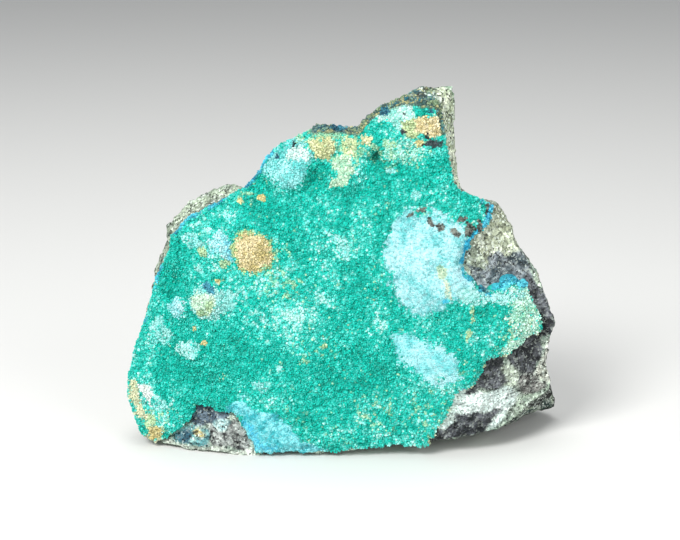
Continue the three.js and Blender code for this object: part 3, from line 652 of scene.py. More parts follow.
# Outlines filled with other colour on the crust: darker tone, lighter tone, strength, edge softness, outlines
CRUST_OUTLINES = [
    ("#5dc6c2", "#aeeceb", 0.9, 1.5, [
        [[-20.5, 72.5], [-19, 75], [-16.5, 77], [-13.5, 79], [-10, 78], [-8, 77], [-7.5, 75],
         [-9.5, 72.5], [-10, 70], [-11.5, 68], [-14.5, 67.5], [-17.5, 69.5], [-20, 71]]]),
    ("#b8ded6", "#eef8f4", 0.96, 0.7, [
        [[-15, 76], [-13.5, 77.5], [-11, 77.5], [-8.5, 77], [-8, 75], [-10, 74.5], [-12, 75],
         [-14.5, 74.5]]]),
    ("#76d6d8", "#dcf8fa", 0.92, 1.1, [
        [[-34, 53.5], [-32.5, 56.4], [-30, 57.4], [-28.5, 56], [-27, 53], [-27.5, 50], [-29.5, 48.4],
         [-31, 50.6], [-33, 51.5]],
        [[-44, 37], [-42.5, 39], [-40, 38], [-39.5, 36], [-41.5, 34.5], [-43.5, 35]]]),
    ("#62c2d2", "#93e2f0", 0.8, 0.7, [[[-29.5, 55], [-28, 55], [-27, 52.5], [-27.4, 50], [-29, 50.5]]]),
    ("#6cc9c1", "#bdeee9", 0.88, 1.0, [
        [[-39, 39], [-37.5, 42], [-35, 43.7], [-32, 43.2], [-30.5, 41.7], [-29, 43], [-27, 42],
         [-27, 39.5], [-28.5, 37.5], [-30.5, 37], [-32.5, 34.5], [-35.5, 34.5], [-38.5, 36]]]),
    ("#b2d8bc", "#eaf8e6", 0.97, 0.7, [
        [[-38, 39.5], [-36.5, 41.5], [-34.5, 42.3], [-32.5, 41.5], [-31.5, 39.5], [-32.5, 36.5],
         [-34.5, 35.5], [-37, 36], [-38, 37.5]]]),
    ("#9cc49c", "#c6dcae", 0.95, 0.5, [
        [[-37, 52], [-36, 53], [-34.5, 53], [-33.5, 51.5], [-34.5, 50.5], [-36.5, 50.5]],
        [[-31, 49.5], [-29.5, 50.5], [-28, 49.5], [-28.5, 48.5], [-30, 48]],
        [[-33.6, 40.6], [-32.6, 39.6], [-32.8, 37.6], [-34, 38.2]],
        [[-36.8, 37], [-35.4, 37.8], [-34.4, 36.2], [-36, 35.8]]]),
    ("#8cb883", "#c6d69a", 0.97, 0.9, [
        [[-27.5, 55], [-26, 57], [-23.5, 57.5], [-20.5, 57], [-18, 55], [-17.5, 52], [-18, 49],
         [-20.5, 46.5], [-23.5, 47], [-26, 48], [-27, 50.5], [-28, 53]]]),
    ("#cbb97c", "#f0dfb8", 0.97, 0.9, [
        [[-26.4, 55.2], [-24.8, 56.8], [-22.6, 57.1], [-20, 56], [-18.3, 53.6], [-18.2, 50.4],
         [-20.4, 47.6], [-23.4, 47.6], [-25.8, 48.8], [-26.6, 51.5]]]),
    ("#7cc4a2", "#bcdcb0", 0.85, 0.9, [
        [[-9, 79.5], [-7, 82.5], [-3.5, 82.5], [-1.5, 82], [-1.5, 79.5], [-4, 79.5], [-6.5, 79.5]]]),
    ("#bcc289", "#f2ecc0", 0.95, 0.6, [
        [[-8.5, 78.5], [-6.5, 79.7], [-4, 79.7], [-3, 78], [-3, 76], [-4, 74.5], [-6, 74.3], [-8, 76.5]],
        [[4, 80], [5, 81], [6.5, 80], [6, 78.5], [4.5, 78.5]]]),
    ("#b4cf9c", "#ebecbe", 0.85, 0.8, [[[-1, 79], [0.5, 80.4], [3, 80], [3.4, 77.4], [1, 75.8], [-1, 76.5]]]),
    ("#9dd2b2", "#e6f0d6", 0.95, 0.5, [
        [[-3.5, 73.5], [-2, 75.5], [-0.5, 76], [1, 75], [1.5, 72.5], [1, 70.5], [-0.5, 69], [-2, 68],
         [-4, 68], [-3.5, 69.5], [-2, 71], [-2, 72.5], [-3, 73]]]),
    ("#80d2c6", "#e4faf0", 0.92, 0.7, [
        [[7, 84.8], [9.5, 87.4], [12, 88.6], [15.5, 88.6], [17, 87], [16.5, 82.5], [14, 81.5],
         [11.5, 83.5], [8.5, 84]]]),
    ("#7ad2bd", "#c8f2de", 0.55, 1.6, [
        [[9.5, 78.5], [13, 79.5], [16.5, 79.5], [19.5, 77.5], [18.5, 74.5], [14.5, 73.5], [9.5, 74.5]]]),
    ("#a8bc88", "#dce8b6", 0.95, 0.5, [[[13.8, 84], [16.8, 85], [18.4, 82.4], [17.6, 80], [14.4, 81.2]]]),
    ("#cfbd84", "#f6e6c2", 0.97, 0.5, [
        [[16.6, 84.8], [19.5, 86], [22.6, 85.8], [24, 82.2], [23.4, 80.2], [19.5, 80.8], [16.6, 81.8]]]),
    ("#7cccb2", "#e4faec", 0.7, 1.2, [
        [[39.5, 42], [43, 43], [46, 42], [49, 37.5], [50, 33], [49, 29], [45, 26.5], [41.5, 24.5],
         [38, 24], [38.5, 27], [41, 29], [41.5, 32.5], [40, 35], [41.5, 37.5], [38.5, 39.5]]]),
    ("#92d5ce", "#c0eeea", 0.85, 1.1, [
        [[27, 43], [31, 44], [34, 42], [38.5, 42], [42.5, 42], [44.5, 39.5], [39.5, 38.5], [35.5, 39],
         [32, 39], [28, 40]]]),
    ("#2296b2", "#7cf0fa", 0.9, 0.7, [
        [[38, 43], [38.6, 44.5], [41.5, 46], [43.5, 45.5], [46, 42.5], [44.5, 41.3], [42, 42.6],
         [39.5, 41.8]]]),
    ("#b3be96", "#ece6c4", 0.9, 0.7, [
        [[-54, 17.7], [-53, 17.3], [-52.2, 15.4], [-52.5, 13.3], [-51.5, 10.6], [-50.4, 7.9],
         [-50.8, 5.3], [-52.1, 6.1], [-53.4, 9], [-54.7, 12.4]],
        [[-50.3, 2.2], [-48.1, 2.1], [-45.5, 2], [-42.5, 1.8], [-42.3, 0.5], [-45.8, -0.3], [-49.2, 0.3]]]),
    ("#e0eae2", "#ffffff", 0.97, 0.7, [
        [[-52.2, 16.2], [-50.6, 16.7], [-49.2, 15.6], [-48.2, 14.8], [-48.2, 13], [-49.3, 11.2],
         [-50.6, 11.8], [-51.7, 13.2]]]),
    ("#b8a564", "#e9dca6", 0.95, 0.6, [
        [[-50.2, 5.4], [-48.3, 6.5], [-46.5, 6], [-46.2, 4.2], [-47.6, 2.7], [-49.5, 2.6]]]),
]

# The chrysocolla: darker tone, lighter tone, edge softness and outline
BLUE_FIELDS = [
    ("#5ebabb", "#b9e6ea", 1.8, BIG_FIELD),
    ("#68c6c8", "#b4e6e9", 1.9, OVAL_FIELD),
    ("#2fa6ae", "#9ceaee", 1.1, WEDGE_FIELD),
]
WEDGE_AZURE = [[-25, 9], [-23, 8.5], [-21.5, 6.5], [-20.5, 4.5], [-17.5, 2.5], [-19.5, 0.8], [-21.5, 1.5],
               [-24, 3]]

# The cream streak of the large field, the azure line of the broken edge, small dark flecks and a dark green
# blot of painted shade in a pit: darker tone, lighter tone, outlines
FLECKS = [
    ("#6a9f86", "#bccfb2", [
        [[21.9, 49.1], [23.4, 49.4], [24.8, 48.6], [25.1, 47.1], [24.1, 45.9], [22.9, 46.1], [22.4, 47.4]]]),
    ("#86c0b4", "#d2d6bc", [
        [[24.1, 46.1], [25.1, 45.9], [25.6, 44.2], [25.6, 42.4], [26.1, 40.9], [25.2, 40.9],
         [24.6, 42.7], [24.4, 44.4]]]),
    ("#1597bd", "#63dff5", [
        [[35.8, 63.9], [35.4, 62.2], [34.7, 60.4], [33.8, 58.4], [31.7, 57], [30, 55.1], [28.9, 52.3],
         [28.3, 49.5], [29.5, 49.2], [30, 51.9], [31.1, 54.5], [32.6, 56.1], [34.8, 57.6], [35.8, 59.8],
         [36.6, 61.8], [37, 63.5]]]),
    ("#2b2d2a", "#888c82", [
        [[14.4, 60.7], [15.7, 61.8], [16.8, 62], [16.8, 61], [15.4, 60.4]],
        [[17.1, 62.2], [18.3, 63], [19.9, 62.7], [19.6, 61.9]],
        [[19.8, 60.9], [20.9, 60.6], [21.9, 58.8], [21.1, 58.3], [20.1, 59.5]],
        [[22.3, 58.8], [23, 59.6], [24.3, 59], [24.1, 57.9], [22.8, 57.7]],
        [[26, 57.7], [26.9, 58], [28.5, 56.5], [27.7, 55.7], [26.2, 56.8]],
        [[26.8, 59.9], [27.9, 60.9], [29.8, 60.9], [29.8, 59.7], [28.2, 58.9]],
        [[29.4, 59.6], [30.7, 59.6], [31.7, 57.5], [30.9, 55.7], [29.3, 56], [29.7, 58]],
        [[32.5, 59.4], [33.3, 59.6], [33.6, 57.3], [32.9, 56.4]],
        [[34.6, 63], [35.5, 63.4], [35.4, 61.2], [34.7, 60.2]]]),
    ("#15191c", "#4a5458", [
        [[13, 82.2], [13.8, 82.5], [14.4, 81.6], [14, 80.9], [13.3, 81.4]],
        [[19.1, 80.9], [19.7, 81.2], [20, 80.1], [19.5, 79.8]],
        [[18.8, 78.3], [20.7, 79.3], [22.2, 79.1], [23.6, 79.2], [23.6, 78], [21.7, 77.5], [20.3, 77.6]],
        [[13.8, 86], [14.4, 86.4], [14.8, 85.8], [14.3, 85.2]],
        [[-13.2, 78.2], [-12.4, 78.8], [-11.9, 78], [-12.6, 77.6]]]),
    # Painted shade: a darker green blot in the pit of the hollow at x 7.5, z 75
    ("#0f7a69", "#35b39d", [[[6.6, 75.8], [7.7, 76.3], [8.3, 74.6], [7.3, 73.8], [6.5, 74.9]]]),
    ("#124257", "#4b9bb0", [
        [[-35.2, 43.2], [-34, 44], [-32.1, 42.8], [-32.5, 41.7], [-34.2, 42.4]],
        [[8, 86], [9, 87], [10.4, 87], [10.2, 85.8], [9.2, 85.2]],
        [[-3.2, 82], [-1.8, 82.8], [-0.4, 82.6], [0.4, 81.6], [-1.2, 81.2], [-2.8, 81.3]],
        [[-17.2, 74.9], [-16.4, 75.5], [-15.9, 74.9], [-16.7, 74.5]],
        [[33, 43], [34.6, 44], [35.7, 42.9], [35.1, 41.9], [33.6, 42.3]],
        [[31.2, 46.6], [32.8, 45.9], [34.1, 44], [33.2, 43.4], [31.3, 45]],
        [[19.6, 86.5], [21.2, 87.2], [22, 86.1], [21, 85.3], [20, 85.5]]]),
]


def mounded(level, x, z, mounds):
    """The level with every mound added: its height, times e to the power of less the squared distance from
    its middle, counted in its half width and half height."""
    for cx, cz, rx, rz, height in mounds:
        level = level + height * np.exp(-((x - cx) / rx) ** 2 - ((z - cz) / rz) ** 2)
    return level


def take(tint, share, luck, low, high, pick):
    """Where the share beats luck, the colour becomes the patch's, between its two tones by pick."""
    won = smooth(-0.12, 0.12, share - 0.08 - 0.84 * luck) * smooth(0.0, 0.08, share)
    return lerp(tint, tone(low, high, pick), won[:, None])


def green_tint(x, z, own):
    """The green: a level from 0 to 1, summed from each grain's own chance, four sizes of roll, the beads,
    which paint light on their crowns and shade where they meet, and the mounds of painted shade, painted
    light and tone, and looked up along GREENS."""
    level = 0.51 + 0.44 * own + 0.36 * roll(x, z, 11, 131) + 0.34 * roll(x, z, 4.5, 133)
    level = level + 0.4 * roll(x, z, 1.9, 135) + 0.4 * roll(x, z, 0.9, 137)
    # painted light and shade: the green is paler on each bead's crown and darker where the beads meet
    level = level + 0.3 * (beads(x, z, BEAD, 145) - 0.5)
    # painted shade in the hollows and painted light on the rises, partly the green's own tone
    level = np.clip(mounded(level, x, z, SHADE_LIGHT_AND_TONE), 0, 1)
    places = [place for place, _ in GREENS]
    colours = np.array([linear(code) for _, code in GREENS])
    return np.stack([np.interp(level, places, colours[:, n]) for n in range(3)], 1)


def crest_tint(tint, x, z, out):
    """The layered crest of the tower, over the last of the way out: layers of roll, by the way round the rim
    and the way out in mm, each bent a little."""
    share = smooth(0.968, 0.985, out) * smooth(80, 81.5, z) * smooth(-9, -7, x)
    share = np.maximum(share, smooth(0.975, 0.99, out) * smooth(83, 84, z) * (x < 23))
    along = CREST_ROUND * np.arctan2(z - CENTRE[1], x - CENTRE[0]) + 0.8 * roll(x, z, 2.3, 231)
    down = (1 - out) * CREST_OUT + 0.9 * roll(x, z, 2.9, 233)
    return layered(tint, share, roll(along, down, 1.2, 183) + 0.35 * roll(x, z, 0.7, 185), CREST_TONES)


def edge_tint(tint, x, z, out, luck, pick):
    """The crust's thin edge: azure round the notch and in a broken line at the upper left, cream at the lower
    right."""
    cover = crust_cover(x, z)
    notch = np.maximum(patch_share(x, z, 33.5, 53, 7, 12, 187), patch_share(x, z, 42, 44.5, 5, 1.8, 189))
    azure = (1 - smooth(0.9, 1.6, cover)) * notch
    line = smooth(0.992, 0.998, out + 0.012 * roll(x, z, 3.1, 227)) * smooth(-0.3, 0.1, roll(x, z, 4.4, 229))
    azure = np.maximum(azure, line * (x < -15) * smooth(30, 36, z) * (z < 76))
    tint = take(tint, 0.9 * azure, luck, "#11708f", "#4fd0e2", pick)
    cream = (1 - smooth(0.3, 0.8, cover)) * (x > 20) * (z < 31)
    return take(tint, 0.8 * cream, luck, "#a5b98c", "#dfe6c6", pick)


def crust_tint(x, z, out, luck):
    """Colour of the crust at a place, each part laid over the one before: green, cream grains, chrysocolla,
    ovals and outlines, crest, edge and flecks. luck, a number from 0 to 1, decides what a grain near a
    patch's edge takes. Gives the colour and the share of smooth chrysocolla."""
    own = chance(np.round(x * 40), np.round(z * 40), 139) - 0.5
    pick = np.clip(0.5 + 0.7 * own + 0.6 * roll(x, z, 1.3, 141) + 0.6 * roll(x, z, 2.9, 143), 0, 1)
    cell = 0.5 + roll(x, z, 0.8, 147) + 0.3 * own
    many = smooth(0.0, 0.2, cell - 0.95 + 1.9 * mounded(0.0, x, z, YELLOW))
    tint = lerp(green_tint(x, z, own), tone("#7cc79e", "#cfe0b0", pick), (0.75 * many)[:, None])
    calm = np.zeros_like(x)
    cloud = pick + 0.6 * roll(x, z, 5, 221) + 0.5 * roll(x, z, 2.1, 223) + 0.45 * roll(x, z, 0.85, 225)
    for n, (low, high, soft, outline) in enumerate(BLUE_FIELDS):
        share = field_share(x, z, outline, soft, 1.5, 211 + 2 * n)
        tint = take(tint, 0.97 * share, luck, low, high, np.clip(cloud, 0, 1))
        calm = np.maximum(calm, share)
    for n, (low, high, strength, patches) in enumerate(CRUST_PATCHES):
        for patch in patches:
            tint = take(tint, strength * patch_share(x, z, *patch, 151 + 2 * n), luck, low, high, pick)
    for n, (low, high, strength, soft, outlines) in enumerate(CRUST_OUTLINES):
        for outline in outlines:
            share = field_share(x, z, outline, soft, 0.8, 161 + 2 * n)
            tint = take(tint, strength * share, luck, low, high, pick)
    tint = take(tint, 0.85 * field_share(x, z, WEDGE_AZURE, 1.2, 0.9, 185), luck, "#18a9cc", "#7fe0ea", pick)
    tint = crest_tint(tint, x, z, out)
    tint = edge_tint(tint, x, z, out, luck, pick)
    for n, (low, high, outlines) in enumerate(FLECKS):
        for outline in outlines:
            share = field_share(x, z, outline, EDGE_SOFT, EDGE_RAG, 191 + 2 * n)
            tint = take(tint, 0.96 * share, luck, low, high, np.clip(1.6 * pick - 0.3, 0, 1))
    return tint, calm


def grown_points(x, z, depth, grown):
    """Points of the crust, x and z grown from the centre, none lower than LOWEST."""
    px = CENTRE[0] + (x - CENTRE[0]) * grown
    pz = np.maximum(LOWEST, CENTRE[1] + (z - CENTRE[1]) * grown)
    return np.stack([px, depth, pz], -1)


def crust_front():
    """The crust's front sheet: the rock's front less the gap and the thickness, dipping under the rock
    outside the ragged edge. A softened ramp, the logarithm of one and e to the depth, keeps it behind
    FOREMOST. Gives the points, the share of the way out and the cover in mm."""
    out, x, z, rim = sheet_points(FRONT_RIM, CRUST_CELLS, 0.25)
    cover = crust_cover(x, z)
    kept = smooth(-0.2, 0.5, cover)
    thick = GAP + lerp(1.1, crust_thickness(out, x, z), smooth(-0.2, 3.0, cover))
    lift = lerp(-1.6, thick, kept)
    grown = lerp(TUCK, 1.0, kept) * lerp(1.0, 1.006, smooth(0.97, 1, out) * kept)
    behind = np.logaddexp(0, (front_depth(out, x, z, rim) - lift - FOREMOST) / ROUND_OFF)
    points = grown_points(x, z, FOREMOST + ROUND_OFF * behind, grown)
    return points.reshape(-1, 3), out.ravel(), cover.ravel()


def crust_shell():
    """The crust's closed surface: the front sheet, three rows that carry its wall back into the rock, and a
    fan to a hub deep inside. Gives points, faces, how openly each point shows, and its share of the way out,
    which goes on growing over the wall."""
    front, out, cover = crust_front()
    rim = sheet_rim(CRUST_CELLS, 0)
    x, z, depth = on_loop(FRONT_RIM, rim_angles(CRUST_CELLS)).T
    kept = smooth(-0.2, 0.5, cover[rim])
    rows = [grown_points(x, z, lerp(front[rim, 1], depth, share) + back, lerp(TUCK, size, kept))
            for size, back, share in WALL_ROWS]
    points = np.concatenate([front, *rows, [[CENTRE[0], HUB_DEPTH, CENTRE[1]]]])
    rims = [rim] + [np.arange(len(rim)) + len(front) + n * len(rim) for n in range(3)]
    faces = [sheet_faces(CRUST_CELLS, 0, True)] + [belt_faces(rims[n], rims[n + 1]) for n in range(3)]
    hub = np.full(len(rim), len(points) - 1)
    faces.append(np.stack([rims[3], hub, np.roll(rims[3], -1)], -1))
    shown = np.concatenate([smooth(0.1, 0.6, cover), np.tile(kept, 3), [0]])
    shown[-1 - len(rim):] = 0
    outs = np.concatenate([out, np.repeat([1.02, 1.05, 1.08], len(rim)), [1.0]])
    return points, np.concatenate(faces), shown, outs


def make_crust():
    """The crust's skin, moved along the outward direction by grit and beads where it shows. Gives the piece,
    and the surface that the grains grow on."""
    points, faces, shown, outs = crust_shell()
    normals = point_normals(points, faces)
    grit = 0.2 * roll3(points, 1.3, 201) + 0.2 * roll3(points, 0.62, 203)
    grit = grit + 0.36 * (beads(points[:, 0], points[:, 2], BEAD, 145) - 0.5)
    skin = points + normals * (grit * shown)[:, None]
    skin[:, 2] = np.maximum(LOWEST, skin[:, 2])
    luck = chance(np.round(points[:, 0] * 3), np.round(points[:, 2] * 3), 205)
    tint, calm = crust_tint(points[:, 0], points[:, 2], outs, 0.5 + 0.3 * (luck - 0.5))
    crust = piece("crust", skin, faces, tint, True, calm=calm)
    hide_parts("brochantite_crust")
    return crust, (skin, faces, normals, shown, outs)


# The grains: small faceted crystals scattered evenly over the crust's open surface

GRAIN_MM = 0.56    # side of the small cubes that hold one grain each
DRAWN = 260000     # points drawn before the cubes thin them out
SIDES = 5          # sides of a grain
GROUPS = 3         # meshes that the grains are joined in
CUBES = 10000      # more cubes than lie along any axis, to number them
FIRST_CUBE = 4000  # number of the cube at nought, so that none is negative


def grain_places(skin, faces, normals, shown, outs, rng):
    """Even scatter over the skin: many points drawn by area, then the first one kept in each small cube.
    Gives the places, their outward directions and their shares of the way out."""
    corner = skin[faces]
    area = 0.5 * np.linalg.norm(np.cross(corner[:, 1] - corner[:, 0], corner[:, 2] - corner[:, 0]), axis=1)
    pool = np.flatnonzero(shown[faces].min(1) > 0.35)
    drawn = pool[rng.choice(len(pool), DRAWN, p=area[pool] / area[pool].sum())]
    u, v = rng.random((2, DRAWN))
    flip = u + v > 1
    u, v = np.where(flip, 1 - u, u), np.where(flip, 1 - v, v)
    weight = np.stack([1 - u - v, u, v], 1)[..., None]
    at = (corner[drawn] * weight).sum(1)
    way = (normals[faces[drawn]] * weight).sum(1)
    way = way / np.linalg.norm(way, axis=1)[:, None]
    out = (outs[faces[drawn]] * weight[..., 0]).sum(1)
    cube = np.floor(at / GRAIN_MM).astype(np.int64) + FIRST_CUBE
    code = (cube[:, 0] * CUBES + cube[:, 1]) * CUBES + cube[:, 2]
    keep = np.sort(np.unique(code, return_index=True)[1])
    return at[keep], way[keep], out[keep]


def grain_mesh(at, way, size, height, turn, tilt):
    """One closed crystal at each place: a five-sided foot, a waist and an off-centre tip. The points of foot
    and waist lie at equal angles round the outward direction, each a little nearer or farther by chance."""
    count = len(at)
    side = np.cross(way, np.array([0.31, 0.17, 0.93]))
    side = side / np.linalg.norm(side, axis=1)[:, None]
    across = np.cross(way, side)
    grain, n = np.arange(count)[:, None], np.arange(SIDES)
    angle = turn[:, None] + n * 2 * math.pi / SIDES
    flat = np.cos(angle)[..., None] * side[:, None] + np.sin(angle)[..., None] * across[:, None]
    wobble = 0.8 + 0.4 * chance(grain, n[None], 211)
    rise = 0.45 + 0.35 * (chance(grain, n[None], 213) - 0.5)
    lean = tilt[:, :1] * side + tilt[:, 1:] * across
    foot = at[:, None] + flat * (0.85 * size[:, None] * wobble)[..., None]
    foot = foot - (0.5 * height)[:, None, None] * way[:, None]
    waist = at[:, None] + flat * (0.8 * size[:, None] * wobble)[..., None]
    waist = waist + (height[:, None] * rise)[..., None] * (way + 0.5 * lean)[:, None]
    tip = at + height[:, None] * (way + lean)
    points = np.concatenate([foot, waist, tip[:, None]], 1)
    m = (n + 1) % SIDES
    one = np.concatenate([
        np.stack([n, m, m + SIDES], -1), np.stack([n, m + SIDES, n + SIDES], -1),
        np.stack([n + SIDES, m + SIDES, np.full(SIDES, 2 * SIDES)], -1),
        np.stack([np.zeros(SIDES - 2, int), n[2:], n[1:-1]], -1)])
    many = one[None] + (np.arange(count) * (2 * SIDES + 1))[:, None, None]
    return points.reshape(-1, 3), many.reshape(-1, 3)


def make_grains(surface):
    """The grains in a few meshes, lowest first, each grain with its own luck, brightness, size, height, turn
    and tilt. They are smaller and flatter on the chrysocolla."""
    rng = np.random.default_rng(7)
    at, way, out = grain_places(*surface, rng)
    at[:, 0] = np.maximum(at[:, 0], cad_box[0][0] * 1000 + 0.6)
    tint, calm = crust_tint(at[:, 0], at[:, 2], out, rng.random(len(at)))
    bright = 0.78 + 0.44 * rng.random(len(at))
    size = (0.28 + 0.16 * rng.random(len(at))) * lerp(1.0, 0.75, calm)
    height = (0.28 + 0.28 * rng.random(len(at))) * lerp(1.0, 0.45, calm)
    turn = 2 * math.pi * rng.random(len(at))
    tilt = 0.5 * (rng.random((len(at), 2)) - 0.5)
    order = np.argsort(at[:, 2], kind="stable")
    grains = []
    for n, chosen in enumerate(np.array_split(order, GROUPS)):
        points, faces = grain_mesh(*(values[chosen] for values in (at, way, size, height, turn, tilt)))
        points[:, 2] = np.maximum(0.2, points[:, 2])
        each = np.repeat(tint[chosen] * bright[chosen][:, None], 2 * SIDES + 1, axis=0)
        # share of the way up each grain, by which the material paints shade at the foot
        tip = np.tile(np.concatenate([np.zeros(SIDES), np.full(SIDES, 0.55), [1.0]]), len(chosen))
        grain = piece(f"crystals_{n}", points, faces, each, False, tip=tip)
        grains.append(grain)
    return grains


# Materials

# Pattern sizes, in cells to a metre. The skin's grit is finer in truth and drawn 0.45 mm across, so that it
# shows. The rock's grains are 0.5 mm across, bent by a pattern of 1.1 mm, and its dark blotches 1.4 mm.
SKIN_GRIT = 2200.0
ROCK_GRAIN = 2100.0
ROCK_BEND = 900.0
ROCK_BLOTCH = 700.0

# Sockets of a Mix node for colours: the share, the two colours and what it gives
SHARE, FIRST, SECOND, MIXED = 0, 6, 7, 2


def node(tree, kind, inputs=(), **settings):
    """Adds a shader node and sets its properties and named sockets. Each of the inputs is a socket with the
    output to link to it, or with its value."""
    made = tree.nodes.new("ShaderNode" + kind)
    for key, value in settings.items():
        if key in made.bl_rna.properties:
            setattr(made, key, value)
        else:
            made.inputs[key.replace("_", " ")].default_value = value
    for socket, source in inputs:
        if isinstance(source, bpy.types.NodeSocket):
            tree.links.new(source, made.inputs[socket])
        else:
            made.inputs[socket].default_value = source
    return made


def new_material(name):
    """An empty node material and its tree."""
    material = bpy.data.materials.new(name)
    material.use_nodes = True
    material.node_tree.nodes.clear()
    return material, material.node_tree


def rgba(code):
    """A hex colour as a socket takes it."""
    return (*linear(code), 1.0)


def sugary_crystal():
    """Brochantite: glassy emerald crystals. Each grain's colour carries painted shade, darkest at its foot in
    the gaps between the grains and full at its tip."""
    material, tree = new_material("brochantite crystals")
    tint = node(tree, "Attribute", attribute_name="tint").outputs["Color"]
    tip = node(tree, "Attribute", attribute_name="tip").outputs["Fac"]
    # painted shade: the tint multiplied by this grey at each grain's foot, fading out towards the tip
    deep = node(tree, "Mix", [(SHARE, 1.0), (FIRST, tint), (SECOND, rgba("#aebcbc"))],
                data_type="RGBA", blend_type="MULTIPLY")
    mixed = node(tree, "Mix", [(SHARE, tip), (FIRST, deep.outputs[MIXED]), (SECOND, tint)], data_type="RGBA")
    shader = node(tree, "BsdfPrincipled", [("Base Color", mixed.outputs[MIXED])],
                  Roughness=0.4, IOR=1.6, Specular_IOR_Level=0.25)
    node(tree, "OutputMaterial", [("Surface", shader.outputs[0])])
    return material


def crust_skin():
    """The crust between the grains: the same green a little in shade, and powdery pale blue where it is
    chrysocolla."""
    material, tree = new_material("brochantite crust")
    place = node(tree, "TexCoord").outputs["Object"]
    tint = node(tree, "Attribute", attribute_name="tint").outputs["Color"]
    calm = node(tree, "Attribute", attribute_name="calm").outputs["Fac"]
    grit = node(tree, "TexNoise", [("Vector", place)], Scale=SKIN_GRIT, Detail=3.0).outputs["Fac"]
    shade = node(tree, "MapRange", [("Value", calm)], To_Min=0.72, To_Max=0.98)
    dark = node(tree, "Mix", [(SHARE, shade.outputs[0]), (FIRST, rgba("#03594d")), (SECOND, tint)],
                data_type="RGBA")
    powder = node(tree, "MapRange", [("Value", grit)], From_Min=0.3, From_Max=0.7, To_Min=0.8, To_Max=1.2)
    shaded = node(tree, "VectorMath", [(0, dark.outputs[MIXED]), ("Scale", powder.outputs[0])],
                  operation="SCALE")
    bump = node(tree, "Bump", [("Height", grit)], Strength=0.5, Distance=0.0003)
    shader = node(tree, "BsdfPrincipled", [("Base Color", shaded.outputs[0]), ("Normal", bump.outputs[0])],
                  Roughness=0.65, IOR=1.55, Specular_IOR_Level=0.25)
    node(tree, "OutputMaterial", [("Surface", shader.outputs[0])])
    return material


def broken_rock():
    """Altered host rock, broken rough: dull and granular, in half-millimetre grains of pale feldspar and dark
    oxide. Dark blotches and lone dark grains show most where the stone isn't clean, pale grains where it
    isn't dark, and every grain differs a little in brightness."""
    material, tree = new_material("broken speckled rock")
    place = node(tree, "TexCoord").outputs["Object"]
    tint = node(tree, "Attribute", attribute_name="tint").outputs["Color"]
    dark = node(tree, "Attribute", attribute_name="dark").outputs["Fac"]
    warp = node(tree, "TexNoise", [("Vector", place)], Scale=ROCK_BEND, Detail=2.0)
    shift = node(tree, "VectorMath", [(0, warp.outputs["Color"]), ("Scale", 0.0005)], operation="SCALE")
    moved = node(tree, "VectorMath", [(0, place), (1, shift.outputs[0])], operation="ADD")
    grain = node(tree, "TexVoronoi", [("Vector", moved.outputs[0])], Scale=ROCK_GRAIN)
    each = node(tree, "SeparateColor", [("Color", grain.outputs["Color"])])
    blotch = node(tree, "TexNoise", [("Vector", place)], Scale=ROCK_BLOTCH, Detail=4.0, Roughness=0.7)
    spot = node(tree, "MapRange", [("Value", blotch.outputs["Fac"])],
                From_Min=0.43, From_Max=0.33, To_Min=0.0, To_Max=0.8)
    lone = node(tree, "MapRange", [("Value", each.outputs[0])],
                From_Min=0.2, From_Max=0.12, To_Min=0.0, To_Max=0.85)
    unclean = node(tree, "MapRange", [("Value", dark)], From_Min=-1.0, From_Max=0.0, To_Min=0.15, To_Max=1.0)
    most = node(tree, "Math", [(0, spot.outputs[0]), (1, lone.outputs[0])], operation="MAXIMUM")
    both = node(tree, "Math", [(0, most.outputs[0]), (1, unclean.outputs[0])], operation="MULTIPLY")
    darker = node(tree, "Mix", [(SHARE, both.outputs[0]), (FIRST, tint), (SECOND, rgba("#171c1b"))],
                  data_type="RGBA")
    light = node(tree, "MapRange", [("Value", each.outputs[1])],
                 From_Min=0.72, From_Max=0.9, To_Min=0.0, To_Max=0.6)
    less = node(tree, "MapRange", [("Value", dark)], To_Min=1.0, To_Max=0.35)
    share = node(tree, "Math", [(0, light.outputs[0]), (1, less.outputs[0])], operation="MULTIPLY")
    pale = node(tree, "Mix", [(SHARE, share.outputs[0]), (FIRST, darker.outputs[MIXED]),
                              (SECOND, rgba("#dfeae0"))], data_type="RGBA")
    value = node(tree, "MapRange", [("Value", each.outputs[2])], To_Min=0.52, To_Max=1.42)
    varied = node(tree, "VectorMath", [(0, pale.outputs[MIXED]), ("Scale", value.outputs[0])],
                  operation="SCALE")
    bump = node(tree, "Bump", [("Height", grain.outputs["Distance"])], Strength=0.7, Distance=0.0004)
    shader = node(tree, "BsdfPrincipled", [("Base Color", varied.outputs[0]), ("Normal", bump.outputs[0])],
                  Roughness=0.75, IOR=1.5, Specular_IOR_Level=0.3)
    node(tree, "OutputMaterial", [("Surface", shader.outputs[0])])
    return material


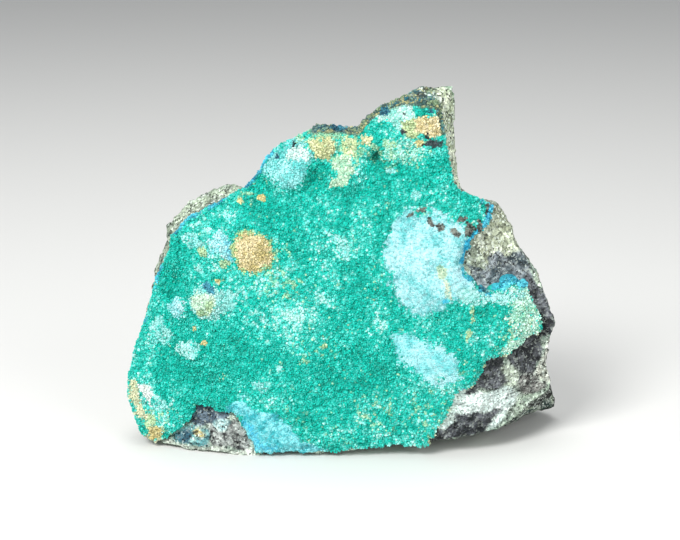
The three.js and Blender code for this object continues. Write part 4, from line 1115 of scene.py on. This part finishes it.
rock = make_rock()
crust, surface = make_crust()
grains = make_grains(surface)
rock.data.materials.append(broken_rock())
crust.data.materials.append(crust_skin())
sugar = sugary_crystal()
for grain in grains:
    grain.data.materials.append(sugar)


# Stage, light and camera, in metres

def stage_floor():
    """A pale floor under the foot."""
    mesh = bpy.data.meshes.new("floor")
    mesh.from_pydata([(-3, -3, 0), (3, -3, 0), (3, 3, 0), (-3, 3, 0)], [], [(0, 1, 2, 3)])
    floor = bpy.data.objects.new("floor", mesh)
    bpy.context.scene.collection.objects.link(floor)
    material, tree = new_material("pale floor")
    shader = node(tree, "BsdfPrincipled", Base_Color=rgba("#d9d9d6"), Roughness=0.9)
    node(tree, "OutputMaterial", [("Surface", shader.outputs[0])])
    mesh.materials.append(material)


def soft_light(name, place, size, power):
    """A square area light at a place, turned to aim at the middle of the piece."""
    light = bpy.data.lights.new(name, "AREA")
    light.size = size
    light.energy = power
    thing = bpy.data.objects.new(name, light)
    thing.location = place
    way = np.array(MIDDLE) - np.array(place)
    down = math.acos(-way[2] / np.linalg.norm(way))
    thing.rotation_euler = (down, 0, math.atan2(way[1], way[0]) - math.pi / 2)
    bpy.context.scene.collection.objects.link(thing)


MIDDLE = (0.0, 0.0, 0.045)
CAMERA_PLACE = (-0.00125, -0.46185, 0.16798)
CAMERA_TILT = math.radians(15)

stage_floor()
soft_light("key", (-0.35, -0.55, 0.6), 0.35, 8.6)
soft_light("fill", (0.5, -0.5, 0.3), 0.5, 2.6)
soft_light("top", (0.0, 0.15, 0.8), 0.5, 2.4)
world = bpy.data.worlds.new("studio")
world.use_nodes = True
background = world.node_tree.nodes["Background"]
background.inputs["Color"].default_value = (0.75, 0.77, 0.8, 1)
background.inputs["Strength"].default_value = 0.48
bpy.context.scene.world = world
bpy.context.scene.view_settings.view_transform = "Standard"

lens = bpy.data.cameras.new("camera")
lens.lens = 100
lens.sensor_width = 36
lens.clip_start = 0.01
camera = bpy.data.objects.new("camera", lens)
camera.location = CAMERA_PLACE
camera.rotation_euler = (math.pi / 2 - CAMERA_TILT, 0, 0)
bpy.context.scene.collection.objects.link(camera)
bpy.context.scene.camera = camera
